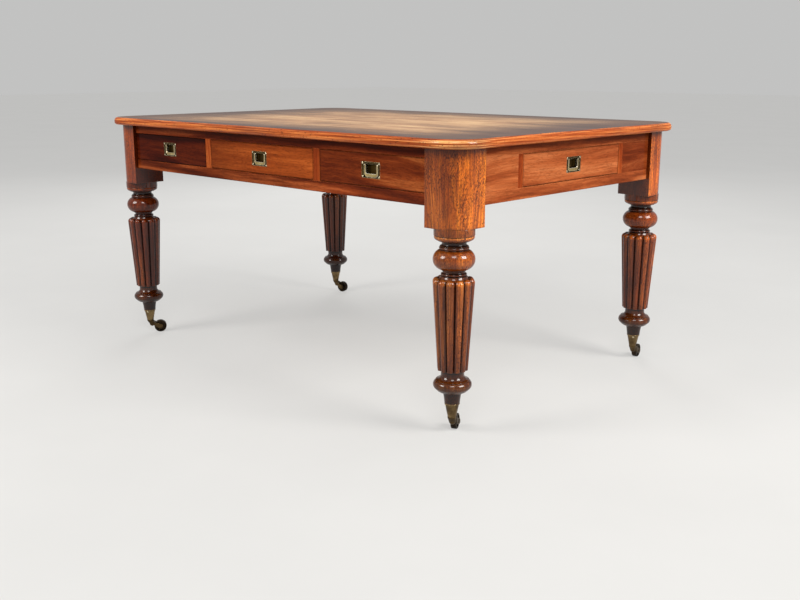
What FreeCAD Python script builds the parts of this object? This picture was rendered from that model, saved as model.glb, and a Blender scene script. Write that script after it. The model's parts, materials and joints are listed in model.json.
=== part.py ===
import FreeCAD, Part

import math
import os

from FreeCAD import Placement, Rotation, Vector

# A mahogany partners' writing table: a moulded top on a drawer frame, with four turned and reeded
# legs on brass castors. Three drawers open on each long side and one at each end.
# Millimetres. The origin is on the floor under the middle of the table: +X is to the right along
# the length, -Y is the front long side, +Z is up.

# ---- driving dimensions: whole table ----
OVERALL_LENGTH = 1580.0
OVERALL_WIDTH = 1060.0
OVERALL_HEIGHT = 760.0

# ---- top ----
TOP_THICKNESS = 24.0
TOP_OVERHANG = 26.0          # past the outer faces of the leg blocks
TOP_CORNER_RADIUS = 85.0
TOP_NOSE_UPPER_RADIUS = 12.0
TOP_NOSE_LOWER_RADIUS = 8.0

# ---- leg blocks and apron frame ----
BLOCK_SIDE = 106.0
BLOCK_HEIGHT = 196.0
BLOCK_CORNER_RADIUS = 60.0
APRON_SETBACK = 11.0         # apron face behind the outer face of the block
RAIL_THICKNESS = 22.0
UPPER_RAIL_HEIGHT = 26.0
DRAWER_OPENING_HEIGHT = 88.0
LOWER_RAIL_HEIGHT = 30.0
LOWER_RAIL_ARRIS = 3.0
TENON_LENGTH = 30.0
TENON_THICKNESS = 10.0
TENON_SHOULDER = 4.0         # left above and below each rail tenon
MORTISE_END_GAP = 0.5
STUB_TENON_LENGTH = 8.0      # muntins, stiles and panels into the rails
MIDDLE_OPENING_WIDTH = 474.0
MUNTIN_WIDTH = 26.0
END_OPENING_WIDTH = 464.0
STILE_WIDTH = 20.0

# ---- inside the frame ----
CENTRE_DIVIDER_THICKNESS = 16.0
DIVIDER_DROP = 4.0           # underside of the dividers above the underside of the lower rails
BEARER_WIDTH = 18.0
RUNNER_HEIGHT = 18.0
GUIDE_WIDTH = 12.0
GUIDE_RISE = 20.0            # guide strip above the running surface

# ---- drawers ----
DRAWER_GAP = 1.2             # all round each drawer front
DRAWER_SIDE_GAP = 1.2        # between a drawer side and its guide
DRAWER_LIFT = 0.3            # drawer side above its runner
DRAWER_BACK_GAP = 0.8        # drawer back to the divider that stops it
DRAWER_HEADROOM = 4.0        # drawer side below the kicker
DRAWER_FRONT_THICKNESS = 22.0
DRAWER_FRONT_ARRIS = 0.8
DRAWER_SIDE_THICKNESS = 11.0
DRAWER_BACK_THICKNESS = 10.0
DRAWER_BACK_DROP = 6.0       # top of the back below the top of the sides
DRAWER_BOTTOM_THICKNESS = 6.0
DRAWER_BOTTOM_RISE = 8.0     # underside of the bottom above the foot of the sides
GROOVE_DEPTH = 5.0
DOVETAIL_COUNT = 3
DOVETAIL_LENGTH = 15.0       # lap dovetails into the drawer front
DOVETAIL_ROOT_SHARE = 0.60   # of the pitch, at the shoulder
DOVETAIL_TIP_SHARE = 0.80    # of the pitch, at the end of the tail

# ---- flush handles ----
PLATE_WIDTH = 68.0
PLATE_HEIGHT = 43.0
PLATE_THICKNESS = 2.0
PLATE_CORNER_RADIUS = 2.0
SEAT_WALL = 3.5              # brass round the sunk seat of the bail
SEAT_DEPTH = 5.5
SEAT_FLOOR = 2.0
BAIL_WIDTH = 50.0
BAIL_THICKNESS = 4.0
BAIL_ARM_WIDTH = 5.0
BAIL_GRIP_HEIGHT = 9.0
BAIL_CORNER = 6.0
BAIL_SIDE_GAP = 1.5
BAIL_FOOT_GAP = 1.0
BAIL_DROP = 32.0             # pivot to the foot of the grip
BAIL_EDGE = 1.0              # rounding of the grip's edges
PIVOT_HEIGHT = 13.5          # above the middle of the plate
PIVOT_RADIUS = 1.6
PIVOT_CLEARANCE = 0.05
PIVOT_LENGTH = 4.3
KNUCKLE_RADIUS = 2.2
KNUCKLE_ROOM = 1.8           # seat above the knuckles
BOWL_MARGIN = 0.5            # bowl edge inside the inner faces of the bail's arms
BOWL_LEDGE = 3.5             # seat left above and below the bowl
BOWL_DEPTH = 12.0
BOWL_WALL = 2.5
BOWL_ROUND = 4.0

# ---- turned legs: mouldings read from the top down ----
# name, radius at the foot of the moulding, its height, bulge (+ round, - hollow)
COLLAR_RADIUS = 52.0
HEAD_MOULDINGS = (
    ("collar", 52.0, 17.5, 0.0),
    ("quirk", 49.5, 0.0, 0.0),
    ("quirk floor", 49.5, 1.8, 0.0),
    ("ring shoulder", 50.5, 0.0, 0.0),
    ("ring", 43.5, 11.2, 3.4),
    ("fillet shoulder", 41.0, 0.0, 0.0),
    ("fillet", 41.0, 2.0, 0.0),
    ("hollow shoulder", 37.5, 0.0, 0.0),
    ("deep hollow", 36.0, 12.4, -5.8),
    ("bead fillet", 36.0, 0.8, 0.0),
    ("bead quirk", 34.8, 0.0, 0.0),
    ("bead quirk floor", 34.8, 0.8, 0.0),
    ("bead", 36.5, 6.5, 2.2),
    ("bulb quirk", 35.8, 1.0, 0.0),
    ("bulb", 34.0, 51.0, 18.6),
    ("lower fillet shoulder", 30.5, 0.0, 0.0),
    ("lower fillet", 30.5, 3.0, 0.0),
    ("lower hollow", 30.0, 5.5, -2.4),
    ("lower bead", 29.5, 7.0, 3.2),
    ("lower quirk", 30.0, 1.2, 0.0),
    ("shoulder step", 33.5, 0.0, 0.0),
    ("reed shoulder", 41.0, 9.1, -1.2),
)
FOOT_MOULDINGS = (
    ("neck hollow", 30.5, 16.0, -0.6),
    ("foot slope", 43.5, 10.5, -2.3),
    ("foot quirk", 42.5, 1.0, 0.0),
    ("foot ring", 43.5, 23.5, 7.0),
    ("foot underside", 26.5, 8.5, 2.4),
    ("ankle shoulder", 24.5, 1.5, -0.6),
    ("ankle", 20.0, 29.0, -0.6),
)
REED_COUNT = 12
SHAFT_TOP_RADIUS = 54.0
SHAFT_BOTTOM_RADIUS = 39.7
GROOVE_SHARE = 0.84          # radius at the grooves between reeds over the radius of the shaft
REED_HEAD_RISE = 5.0         # the reeds' heads above the foot of the shoulder they stand round

# ---- castors ----
WHEEL_RADIUS = 21.0
WHEEL_WIDTH = 15.0
WHEEL_CHAMFER = 1.0
WHEEL_RECESS_DEPTH = 2.5
WHEEL_RECESS_RADIUS = 16.0
WHEEL_HUB_RADIUS = 7.0
AXLE_RADIUS = 3.0
AXLE_CLEARANCE = 0.05
AXLE_HEAD_RADIUS = 5.0
AXLE_HEAD_HEIGHT = 1.5
CASTOR_TRAIL = 34.0
FORK_WIDTH = 23.6
FORK_SIDE_GAP = 0.7
FORK_WHEEL_GAP = 1.5
FORK_EYE_RADIUS = 8.5
CHEEK_FRONT_REACH = 2.0      # front of the cheeks' head from the swivel axis
CHEEK_TOP_REACH = 9.5        # back of the cheeks' head from the swivel axis
CHEEK_DROP = 2.0             # cheeks' head below the collar
CHEEK_CROWN_ANGLE = 35.0     # where the upper edge meets the eye, from straight up
CHEEK_HOCK_ANGLE = 205.0     # where the lower edge leaves the eye, from straight up
CHEEK_HOLLOW = 1.5           # hollow of the upper edge
CHEEK_BELLY = 5.0            # bulge of the lower edge
CHEEK_ROUND = 2.8            # rounding of the lower edge's two arrises
HORN_COLLAR_RADIUS = 11.5
HORN_COLLAR_HEIGHT = 4.0
HORN_HEEL_RADIUS = 9.0
HORN_HEEL_REACH = 5.5        # middle of the heel from the swivel axis
HORN_HEEL_RISE = 9.0         # middle of the heel above the axle
SWIVEL_GAP = 0.2
CUP_OVER_WHEEL = 4.5         # underside of the cup above the top of the wheel
CUP_FLOOR = 3.0
CUP_HEIGHT = 37.0
CUP_WALL = 1.8
CUP_TOP_RADIUS = 19.0
CUP_BOTTOM_RADIUS = 11.5
CUP_RIM = 1.0
CUP_RIM_HEIGHT = 3.0
PINTLE_RADIUS = 4.0
PINTLE_CLEARANCE = 0.05
PINTLE_HEAD_RADIUS = 6.5
PINTLE_HEAD_HEIGHT = 2.0
PINTLE_HEAD_GAP = 0.2
TOE_GAP = 0.1                # leg end inside its cup
TOE_ROOM = 1.0               # leg end above the pintle's head

# The way each castor trails, in degrees from +X
CASTOR_TRAIL_ANGLES = {
    "front_left": 55.0,
    "front_right": 116.0,
    "rear_left": 15.0,
    "rear_right": 99.0,
}

# ---- worked-out places ----
TOP_UNDERSIDE = OVERALL_HEIGHT - TOP_THICKNESS
LEG_X = OVERALL_LENGTH / 2 - TOP_OVERHANG - BLOCK_SIDE / 2
LEG_Y = OVERALL_WIDTH / 2 - TOP_OVERHANG - BLOCK_SIDE / 2
APRON_X = LEG_X + BLOCK_SIDE / 2 - APRON_SETBACK
APRON_Y = LEG_Y + BLOCK_SIDE / 2 - APRON_SETBACK
INNER_X = APRON_X - RAIL_THICKNESS
INNER_Y = APRON_Y - RAIL_THICKNESS
BLOCK_INNER_X = LEG_X - BLOCK_SIDE / 2
BLOCK_INNER_Y = LEG_Y - BLOCK_SIDE / 2
OPENING_TOP = TOP_UNDERSIDE - UPPER_RAIL_HEIGHT
OPENING_BOTTOM = OPENING_TOP - DRAWER_OPENING_HEIGHT
RAIL_BOTTOM = OPENING_BOTTOM - LOWER_RAIL_HEIGHT
DIVIDER_BOTTOM = RAIL_BOTTOM + DIVIDER_DROP
BLOCK_BOTTOM = TOP_UNDERSIDE - BLOCK_HEIGHT
MUNTIN_INNER_X = MIDDLE_OPENING_WIDTH / 2
MUNTIN_OUTER_X = MUNTIN_INNER_X + MUNTIN_WIDTH
STILE_INNER_Y = END_OPENING_WIDTH / 2
STILE_OUTER_Y = STILE_INNER_Y + STILE_WIDTH
CENTRE_FACE_Y = CENTRE_DIVIDER_THICKNESS / 2
CORNER_OPENING_WIDTH = BLOCK_INNER_X - MUNTIN_OUTER_X
CORNER_OPENING_X = (BLOCK_INNER_X + MUNTIN_OUTER_X) / 2
HEAD_HEIGHT = sum(moulding[2] for moulding in HEAD_MOULDINGS)
FOOT_HEIGHT = sum(moulding[2] for moulding in FOOT_MOULDINGS)
SHAFT_TOP = BLOCK_BOTTOM - HEAD_HEIGHT
CUP_FLOOR_HEIGHT = 2 * WHEEL_RADIUS + CUP_OVER_WHEEL
CUP_TOP = CUP_FLOOR_HEIGHT + CUP_HEIGHT
SHAFT_BOTTOM = CUP_TOP + FOOT_HEIGHT

# Quarter turns about Z that carry a front right leg to each corner of the table
CORNERS = {
    "front_right": (LEG_X, -LEG_Y, 0),
    "rear_right": (LEG_X, LEG_Y, 90),
    "rear_left": (-LEG_X, LEG_Y, 180),
    "front_left": (-LEG_X, -LEG_Y, 270),
}

# Each drawer: place of its opening's middle, turn about Z, opening width and room behind the front
MIDDLE_DEPTH = APRON_Y - CENTRE_FACE_Y
CORNER_DEPTH = APRON_Y - STILE_OUTER_Y
END_DEPTH = APRON_X - MUNTIN_OUTER_X
DRAWERS = {
    "front_left": (-CORNER_OPENING_X, -APRON_Y, 0, CORNER_OPENING_WIDTH, CORNER_DEPTH),
    "front_middle": (0.0, -APRON_Y, 0, MIDDLE_OPENING_WIDTH, MIDDLE_DEPTH),
    "front_right": (CORNER_OPENING_X, -APRON_Y, 0, CORNER_OPENING_WIDTH, CORNER_DEPTH),
    "right_end": (APRON_X, 0.0, 90, END_OPENING_WIDTH, END_DEPTH),
    "rear_right": (CORNER_OPENING_X, APRON_Y, 180, CORNER_OPENING_WIDTH, CORNER_DEPTH),
    "rear_middle": (0.0, APRON_Y, 180, MIDDLE_OPENING_WIDTH, MIDDLE_DEPTH),
    "rear_left": (-CORNER_OPENING_X, APRON_Y, 180, CORNER_OPENING_WIDTH, CORNER_DEPTH),
    "left_end": (-APRON_X, 0.0, 270, END_OPENING_WIDTH, END_DEPTH),
}


# ---- helpers ----
def box(x_span, y_span, z_span):
    """A block between two values along each axis."""
    low = Vector(min(x_span), min(y_span), min(z_span))
    high = Vector(max(x_span), max(y_span), max(z_span))
    size = high - low
    return Part.makeBox(size.x, size.y, size.z, low)


def about(middle, size):
    """The two ends of a span of this size round its middle."""
    return (middle - size / 2, middle + size / 2)


def mirrored(shapes, *normals):
    """The shapes and their mirror images in planes through the origin."""
    result = list(shapes)
    for normal in normals:
        result += [shape.mirror(Vector(0, 0, 0), normal) for shape in result]
    return result


def placed(shape, x, y, z, turn):
    """A copy of a shape turned about Z, then moved."""
    copy = shape.copy()
    move = Placement(Vector(x, y, z), Rotation(Vector(0, 0, 1), turn))
    copy.Placement = move.multiply(copy.Placement)
    return copy


def cylinder_x(radius, x_span, y, z):
    """A cylinder along X."""
    return Part.makeCylinder(radius, x_span[1] - x_span[0], Vector(x_span[0], y, z), Vector(1, 0, 0))


def cylinder_y(radius, y_span, x, z):
    """A cylinder along Y."""
    return Part.makeCylinder(radius, y_span[1] - y_span[0], Vector(x, y_span[0], z), Vector(0, 1, 0))


def cylinder_z(radius, z_span):
    """A cylinder on the Z axis."""
    return Part.makeCylinder(radius, z_span[1] - z_span[0], Vector(0, 0, z_span[0]))


def rounded_slab(length, width, radius, z_span):
    """A slab round the Z axis with rounded upright corners."""
    slab = box(about(0, length), about(0, width), z_span)
    return slab.makeFillet(radius, upright_edges(slab))


def upright_edges(shape):
    """The straight edges that run along Z."""
    return [edge for edge in shape.Edges if runs_along(edge, Vector(0, 0, 1))]


def runs_along(edge, direction):
    """Whether an edge is straight and lies along a direction."""
    span = edge.Vertexes[-1].Point - edge.Vertexes[0].Point
    return edge.Length > 1e-6 and abs(abs(span.dot(direction)) - edge.Length) < 1e-6


def edges_at_height(shape, height):
    """The edges that lie wholly at one height."""
    return [e for e in shape.Edges
            if abs(e.BoundBox.ZMin - height) < 1e-6 and abs(e.BoundBox.ZMax - height) < 1e-6]


def turned(face):
    """The solid that a face in the XZ plane sweeps round the Z axis."""
    return face.revolve(Vector(0, 0, 0), Vector(0, 0, 1), 360)


def polygon(points):
    """A face in the XZ plane through the given corners."""
    corners = [Vector(x, 0, z) for x, z in points]
    return Part.Face(Part.makePolygon(corners + corners[:1]))


def straight(start, end):
    """A straight edge."""
    return Part.LineSegment(start, end).toShape()


def bowed(start, end, bulge):
    """An edge in the XZ plane with this bulge to the left of its run, as seen from the front."""
    if bulge == 0:
        return straight(start, end)
    chord = end - start
    outward = Vector(-chord.z, 0, chord.x).normalize()
    return Part.Arc(start, (start + end) / 2 + outward * bulge, end).toShape()


def turning(radius, height, mouldings):
    """A solid turning, followed down its outside and closed along its axis."""
    head = Vector(radius, 0, height)
    edges = []
    point = head
    for _, end_radius, drop, bulge in mouldings:
        end = Vector(end_radius, 0, point.z - drop)
        edges.append(bowed(point, end, bulge))
        point = end
    head_axis = Vector(0, 0, height)
    foot_axis = Vector(0, 0, point.z)
    edges.append(straight(point, foot_axis))
    edges.append(straight(foot_axis, head_axis))
    edges.append(straight(head_axis, head))
    return turned(Part.Face(Part.Wire(edges)))


# ---- top ----
def desk_top():
    """The solid top, with rounded corners and a thumb-moulded edge."""
    slab = rounded_slab(OVERALL_LENGTH, OVERALL_WIDTH, TOP_CORNER_RADIUS,
                        (TOP_UNDERSIDE, OVERALL_HEIGHT))
    slab = slab.makeFillet(TOP_NOSE_UPPER_RADIUS, edges_at_height(slab, OVERALL_HEIGHT))
    return slab.makeFillet(TOP_NOSE_LOWER_RADIUS, edges_at_height(slab, TOP_UNDERSIDE))


# ---- frame ----
def tenon_span(z_span):
    """The height of a rail's tenon, inside its shoulders."""
    return (z_span[0] + TENON_SHOULDER, z_span[1] - TENON_SHOULDER)


RAIL_SPANS = {
    "upper": (OPENING_TOP, TOP_UNDERSIDE),
    "lower": (RAIL_BOTTOM, OPENING_BOTTOM),
}


def rail(face, shoulder, z_span, arris):
    """A rail along X whose outer face looks to -Y, with a tenon at each end."""
    body = box((-shoulder, shoulder), (face, face + RAIL_THICKNESS), z_span)
    if arris:
        corner = [e for e in body.Edges
                  if runs_along(e, Vector(1, 0, 0))
                  and abs(e.BoundBox.YMin - face) < 1e-6
                  and abs(e.BoundBox.ZMin - z_span[0]) < 1e-6]
        body = body.makeFillet(arris, corner)
    reach = shoulder + TENON_LENGTH
    tenon = box((-reach, reach), about(face + RAIL_THICKNESS / 2, TENON_THICKNESS),
                tenon_span(z_span))
    return body.fuse(tenon).removeSplitter()


def upright(middle, width, face):
    """A muntin, stile or panel between the rails, with a stub tenon at each end."""
    body = box(about(middle, width), (face, face + RAIL_THICKNESS), (OPENING_BOTTOM, OPENING_TOP))
    tenon = box(about(middle, width - 2 * TENON_SHOULDER),
                about(face + RAIL_THICKNESS / 2, TENON_THICKNESS),
                (OPENING_BOTTOM - STUB_TENON_LENGTH, OPENING_TOP + STUB_TENON_LENGTH))
    return body.fuse(tenon).removeSplitter()


def side_of_frame(face, shoulder, uprights):
    """The two rails of one side, mortised for the uprights between them."""
    rails = {}
    for level, z_span in RAIL_SPANS.items():
        arris = LOWER_RAIL_ARRIS if level == "lower" else 0.0
        rails[level] = rail(face, shoulder, z_span, arris).cut(uprights)
    return rails


def frame():
    """Rails, uprights and fixed panels of the four sides."""
    muntin_middle = (MUNTIN_INNER_X + MUNTIN_OUTER_X) / 2
    stile_middle = (STILE_INNER_Y + STILE_OUTER_Y) / 2
    panel_middle = (BLOCK_INNER_Y + STILE_OUTER_Y) / 2
    panel_width = BLOCK_INNER_Y - STILE_OUTER_Y
    muntins = [upright(side * muntin_middle, MUNTIN_WIDTH, -APRON_Y) for side in (-1, 1)]
    stiles = [upright(side * stile_middle, STILE_WIDTH, -APRON_X) for side in (-1, 1)]
    panels = [upright(side * panel_middle, panel_width, -APRON_X) for side in (-1, 1)]
    long_rails = side_of_frame(-APRON_Y, BLOCK_INNER_X, muntins)
    end_rails = side_of_frame(-APRON_X, BLOCK_INNER_Y, stiles + panels)
    nodes = {}
    for side, turn in (("front", 0), ("rear", 180)):
        for level, shape in long_rails.items():
            nodes[f"{side}_{level}_rail"] = [placed(shape, 0, 0, 0, turn)]
    for side, turn in (("right", 90), ("left", 270)):
        for level, shape in end_rails.items():
            nodes[f"{side}_{level}_rail"] = [placed(shape, 0, 0, 0, turn)]
    long_uprights = [placed(shape, 0, 0, 0, turn) for turn in (0, 180) for shape in muntins]
    end_uprights = [placed(shape, 0, 0, 0, turn) for turn in (90, 270) for shape in stiles]
    nodes["frame_uprights"] = long_uprights + end_uprights
    nodes["end_panels"] = [placed(shape, 0, 0, 0, turn) for turn in (90, 270) for shape in panels]
    return nodes


def dividers():
    """Boards inside the frame that part the drawers and guide them."""
    z_span = (DIVIDER_BOTTOM, TOP_UNDERSIDE)
    cross = box((MUNTIN_INNER_X, MUNTIN_OUTER_X), (-INNER_Y, INNER_Y), z_span)
    beside_end = box((MUNTIN_OUTER_X, INNER_X), (STILE_INNER_Y, STILE_OUTER_Y), z_span)
    centre = box((-MUNTIN_INNER_X, MUNTIN_INNER_X), (-CENTRE_FACE_Y, CENTRE_FACE_Y), z_span)
    return {
        "cross_dividers": mirrored([cross], Vector(1, 0, 0)),
        "drawer_dividers": mirrored([beside_end], Vector(1, 0, 0), Vector(0, 1, 0)) + [centre],
    }


def bearers(z_span):
    """Bars along the drawers' sides in one quarter of the table, and their mirror images."""
    middle = box((MUNTIN_INNER_X - BEARER_WIDTH, MUNTIN_INNER_X), (CENTRE_FACE_Y, INNER_Y), z_span)
    corner = box((MUNTIN_OUTER_X, MUNTIN_OUTER_X + BEARER_WIDTH), (STILE_OUTER_Y, INNER_Y), z_span)
    outer = box((BLOCK_INNER_X - BEARER_WIDTH, BLOCK_INNER_X), (STILE_OUTER_Y, INNER_Y), z_span)
    end = box((MUNTIN_OUTER_X, INNER_X), (STILE_INNER_Y - BEARER_WIDTH, STILE_INNER_Y), z_span)
    return middle, corner, outer, end


def runners():
    """Runners under the drawers' sides. The outer ones are rebated to guide the drawer too."""
    z_span = (OPENING_BOTTOM - RUNNER_HEIGHT, OPENING_BOTTOM)
    middle, corner, outer, end = bearers(z_span)
    guide = box((BLOCK_INNER_X, BLOCK_INNER_X + GUIDE_WIDTH), (STILE_OUTER_Y, BLOCK_INNER_Y),
                (z_span[0], OPENING_BOTTOM + GUIDE_RISE))
    outer = outer.fuse(guide).removeSplitter()
    return mirrored([middle, corner, outer, end], Vector(1, 0, 0), Vector(0, 1, 0))


def kickers():
    """Bars over the drawers' sides that keep an open drawer from tipping."""
    quarter = bearers((OPENING_TOP, TOP_UNDERSIDE))
    return mirrored(quarter, Vector(1, 0, 0), Vector(0, 1, 0))


# ---- drawers, in the frame of their opening: front face at Y = 0 looking to -Y, foot at Z = 0 ----
SIDE_FOOT = DRAWER_LIFT
SIDE_HEAD = DRAWER_OPENING_HEIGHT - DRAWER_HEADROOM


def dovetails(x_span, shoulder, tip):
    """A row of tails through the thickness of a drawer side, from its shoulder to the tips."""
    pitch = (SIDE_HEAD - SIDE_FOOT) / DOVETAIL_COUNT
    root = pitch * DOVETAIL_ROOT_SHARE / 2
    end = pitch * DOVETAIL_TIP_SHARE / 2
    tails = []
    for index in range(DOVETAIL_COUNT):
        middle = SIDE_FOOT + pitch * (index + 0.5)
        corners = [
            Vector(x_span[0], shoulder, middle - root),
            Vector(x_span[0], tip, middle - end),
            Vector(x_span[0], tip, middle + end),
            Vector(x_span[0], shoulder, middle + root),
        ]
        face = Part.Face(Part.makePolygon(corners + corners[:1]))
        tails.append(face.extrude(Vector(x_span[1] - x_span[0], 0, 0)))
    return tails


def drawer_shapes(opening_width, room):
    """The front, and the sides, back and bottom, of one drawer."""
    half_width = opening_width / 2 - DRAWER_SIDE_GAP
    inner_half = half_width - DRAWER_SIDE_THICKNESS
    back_face = room - DRAWER_BACK_GAP
    back_inner = back_face - DRAWER_BACK_THICKNESS
    floor_low = SIDE_FOOT + DRAWER_BOTTOM_RISE
    floor_high = floor_low + DRAWER_BOTTOM_THICKNESS
    front_depth = DRAWER_FRONT_THICKNESS

    bottom = box(about(0, 2 * (inner_half + GROOVE_DEPTH)),
                 (front_depth - GROOVE_DEPTH, back_face), (floor_low, floor_high))
    left_span = (-half_width, -inner_half)
    front_tails = dovetails(left_span, front_depth, front_depth - DOVETAIL_LENGTH)
    back_tails = dovetails(left_span, back_inner, back_face)
    left = box(left_span, (front_depth, back_inner), (SIDE_FOOT, SIDE_HEAD))
    left = left.fuse(front_tails + back_tails).removeSplitter().cut(bottom)
    right = left.mirror(Vector(0, 0, 0), Vector(1, 0, 0))
    back = box((-half_width, half_width), (back_inner, back_face),
               (floor_high, SIDE_HEAD - DRAWER_BACK_DROP)).cut([left, right])

    front = box(about(0, opening_width - 2 * DRAWER_GAP), (0, front_depth),
                (DRAWER_GAP, DRAWER_OPENING_HEIGHT - DRAWER_GAP))
    face_edges = [e for e in front.Edges if e.BoundBox.YMax < 1e-6]
    front = front.makeChamfer(DRAWER_FRONT_ARRIS, face_edges)
    front = front.cut([left, right, bottom, handle_envelope()])
    return front, [left, right, back, bottom]


# ---- flush handle, in the same frame ----
HANDLE_MIDDLE = DRAWER_OPENING_HEIGHT / 2
SEAT_HALF_WIDTH = BAIL_WIDTH / 2 + BAIL_SIDE_GAP
PIVOT_Z = HANDLE_MIDDLE + PIVOT_HEIGHT
PIVOT_Y = SEAT_DEPTH - KNUCKLE_RADIUS - (SEAT_DEPTH - 2 * KNUCKLE_RADIUS) / 2
GRIP_FOOT = PIVOT_Z - BAIL_DROP
GRIP_HEAD = GRIP_FOOT + BAIL_GRIP_HEIGHT
SEAT_SPAN = (GRIP_FOOT - BAIL_FOOT_GAP, PIVOT_Z + KNUCKLE_RADIUS + KNUCKLE_ROOM)
BOWL_HALF_WIDTH = BAIL_WIDTH / 2 - BAIL_ARM_WIDTH - BOWL_MARGIN
BOWL_SPAN = (SEAT_SPAN[0] + BOWL_LEDGE, SEAT_SPAN[1] - BOWL_LEDGE)


def handle_envelope():
    """The outside of the handle's casting, which is let into the drawer front."""
    flange = box(about(0, PLATE_WIDTH), (0, PLATE_THICKNESS), about(HANDLE_MIDDLE, PLATE_HEIGHT))
    corners = [e for e in flange.Edges if runs_along(e, Vector(0, 1, 0))]
    flange = flange.makeFillet(PLATE_CORNER_RADIUS, corners)
    seat = box(about(0, 2 * (SEAT_HALF_WIDTH + SEAT_WALL)), (0, SEAT_DEPTH + SEAT_FLOOR),
               (SEAT_SPAN[0] - SEAT_WALL / 2, SEAT_SPAN[1] + SEAT_WALL / 2))
    bowl = box(about(0, 2 * (BOWL_HALF_WIDTH + BOWL_WALL)), (0, BOWL_DEPTH + BOWL_WALL),
               (BOWL_SPAN[0] - BOWL_WALL, BOWL_SPAN[1] + BOWL_WALL))
    return flange.fuse([seat, bowl]).removeSplitter()


def handle_plate():
    """The cast plate, with a sunk seat for the bail and a finger bowl behind it."""
    seat = box(about(0, 2 * SEAT_HALF_WIDTH), (0, SEAT_DEPTH), SEAT_SPAN)
    bowl = box(about(0, 2 * BOWL_HALF_WIDTH), (0, BOWL_DEPTH), BOWL_SPAN)
    inner_edges = [e for e in bowl.Edges if e.BoundBox.YMax > BOWL_DEPTH / 2]
    bowl = bowl.makeFillet(BOWL_ROUND, inner_edges)
    reach = BAIL_WIDTH / 2 + PIVOT_LENGTH + BAIL_SIDE_GAP / 2
    bore = cylinder_x(PIVOT_RADIUS + PIVOT_CLEARANCE, (-reach, reach), PIVOT_Y, PIVOT_Z)
    return handle_envelope().cut([seat, bowl, bore])


def handle_bail():
    """The swinging grip: two arms with knuckles and pivots, and a chamfered cross bar."""
    outer = BAIL_WIDTH / 2
    inner = outer - BAIL_ARM_WIDTH
    heel = BAIL_CORNER / 2
    outline = polygon([
        (-outer, PIVOT_Z), (-outer, GRIP_FOOT + BAIL_CORNER), (-outer + BAIL_CORNER, GRIP_FOOT),
        (outer - BAIL_CORNER, GRIP_FOOT), (outer, GRIP_FOOT + BAIL_CORNER), (outer, PIVOT_Z),
        (inner, PIVOT_Z), (inner, GRIP_HEAD + heel), (inner - heel, GRIP_HEAD),
        (heel - inner, GRIP_HEAD), (-inner, GRIP_HEAD + heel), (-inner, PIVOT_Z),
    ])
    bail = outline.extrude(Vector(0, BAIL_THICKNESS, 0))
    bail.translate(Vector(0, PIVOT_Y - BAIL_THICKNESS / 2, 0))
    front_edges = [e for e in bail.Edges
                   if e.BoundBox.YMax < PIVOT_Y and e.BoundBox.ZMax < PIVOT_Z - 1e-6]
    bail = bail.makeFillet(BAIL_EDGE, front_edges)
    arms = [(-outer, -inner), (inner, outer)]
    knuckles = [cylinder_x(KNUCKLE_RADIUS, span, PIVOT_Y, PIVOT_Z) for span in arms]
    pins = [cylinder_x(PIVOT_RADIUS, span, PIVOT_Y, PIVOT_Z)
            for span in ((-outer - PIVOT_LENGTH, -outer), (outer, outer + PIVOT_LENGTH))]
    return bail.fuse(knuckles + pins).removeSplitter()


# ---- legs, with the leg's axis on Z and the table's corner towards +X and -Y ----
def corner_block():
    """The square block that takes the rails, with its outer corner rounded."""
    block = box(about(0, BLOCK_SIDE), about(0, BLOCK_SIDE), (BLOCK_BOTTOM, TOP_UNDERSIDE))
    outer_corner = [e for e in upright_edges(block)
                    if e.BoundBox.XMin > 0 and e.BoundBox.YMax < 0]
    block = block.makeFillet(BLOCK_CORNER_RADIUS, outer_corner)
    depth = TENON_LENGTH + MORTISE_END_GAP
    across = about(BLOCK_SIDE / 2 - APRON_SETBACK - RAIL_THICKNESS / 2, TENON_THICKNESS)
    inward = (-BLOCK_SIDE / 2, -BLOCK_SIDE / 2 + depth)
    mortises = []
    for z_span in RAIL_SPANS.values():
        height = tenon_span(z_span)
        mortises.append(box(inward, (-across[0], -across[1]), height))
        mortises.append(box(across, (-inward[0], -inward[1]), height))
    return block.cut(mortises)


def reeds_outline(radius, height):
    """The scalloped section of the shaft: one arc over each reed, from groove to groove."""
    def on_section(share, steps):
        angle = math.radians(steps * 180 / REED_COUNT)
        return Vector(radius * share * math.cos(angle), radius * share * math.sin(angle), height)

    arcs = [Part.Arc(on_section(GROOVE_SHARE, step - 1), on_section(1, step),
                     on_section(GROOVE_SHARE, step + 1))
            for step in range(0, 2 * REED_COUNT, 2)]
    return Part.Wire([arc.toShape() for arc in arcs])


def reeded_shaft():
    """The tapering shaft of convex reeds, with their domed heads standing round the core."""
    spread = math.cos(math.pi / REED_COUNT)
    round_share = 1 - (1 - GROOVE_SHARE ** 2) / (2 * (1 - GROOVE_SHARE * spread))
    dome = SHAFT_TOP_RADIUS * round_share
    dome_foot = SHAFT_TOP + REED_HEAD_RISE - dome
    core_radius = HEAD_MOULDINGS[-1][1]
    shaft = Part.makeLoft([reeds_outline(SHAFT_BOTTOM_RADIUS, SHAFT_BOTTOM),
                           reeds_outline(SHAFT_TOP_RADIUS, dome_foot)], True, True)
    core = cylinder_z(core_radius, (dome_foot, SHAFT_TOP))
    head = Part.makeSphere(dome, Vector(SHAFT_TOP_RADIUS - dome, 0, dome_foot),
                           Vector(0, 0, 1), 0, 90)
    heads = [placed(head, 0, 0, 0, index * 360 / REED_COUNT) for index in range(REED_COUNT)]
    return shaft.fuse([core] + heads)


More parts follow.
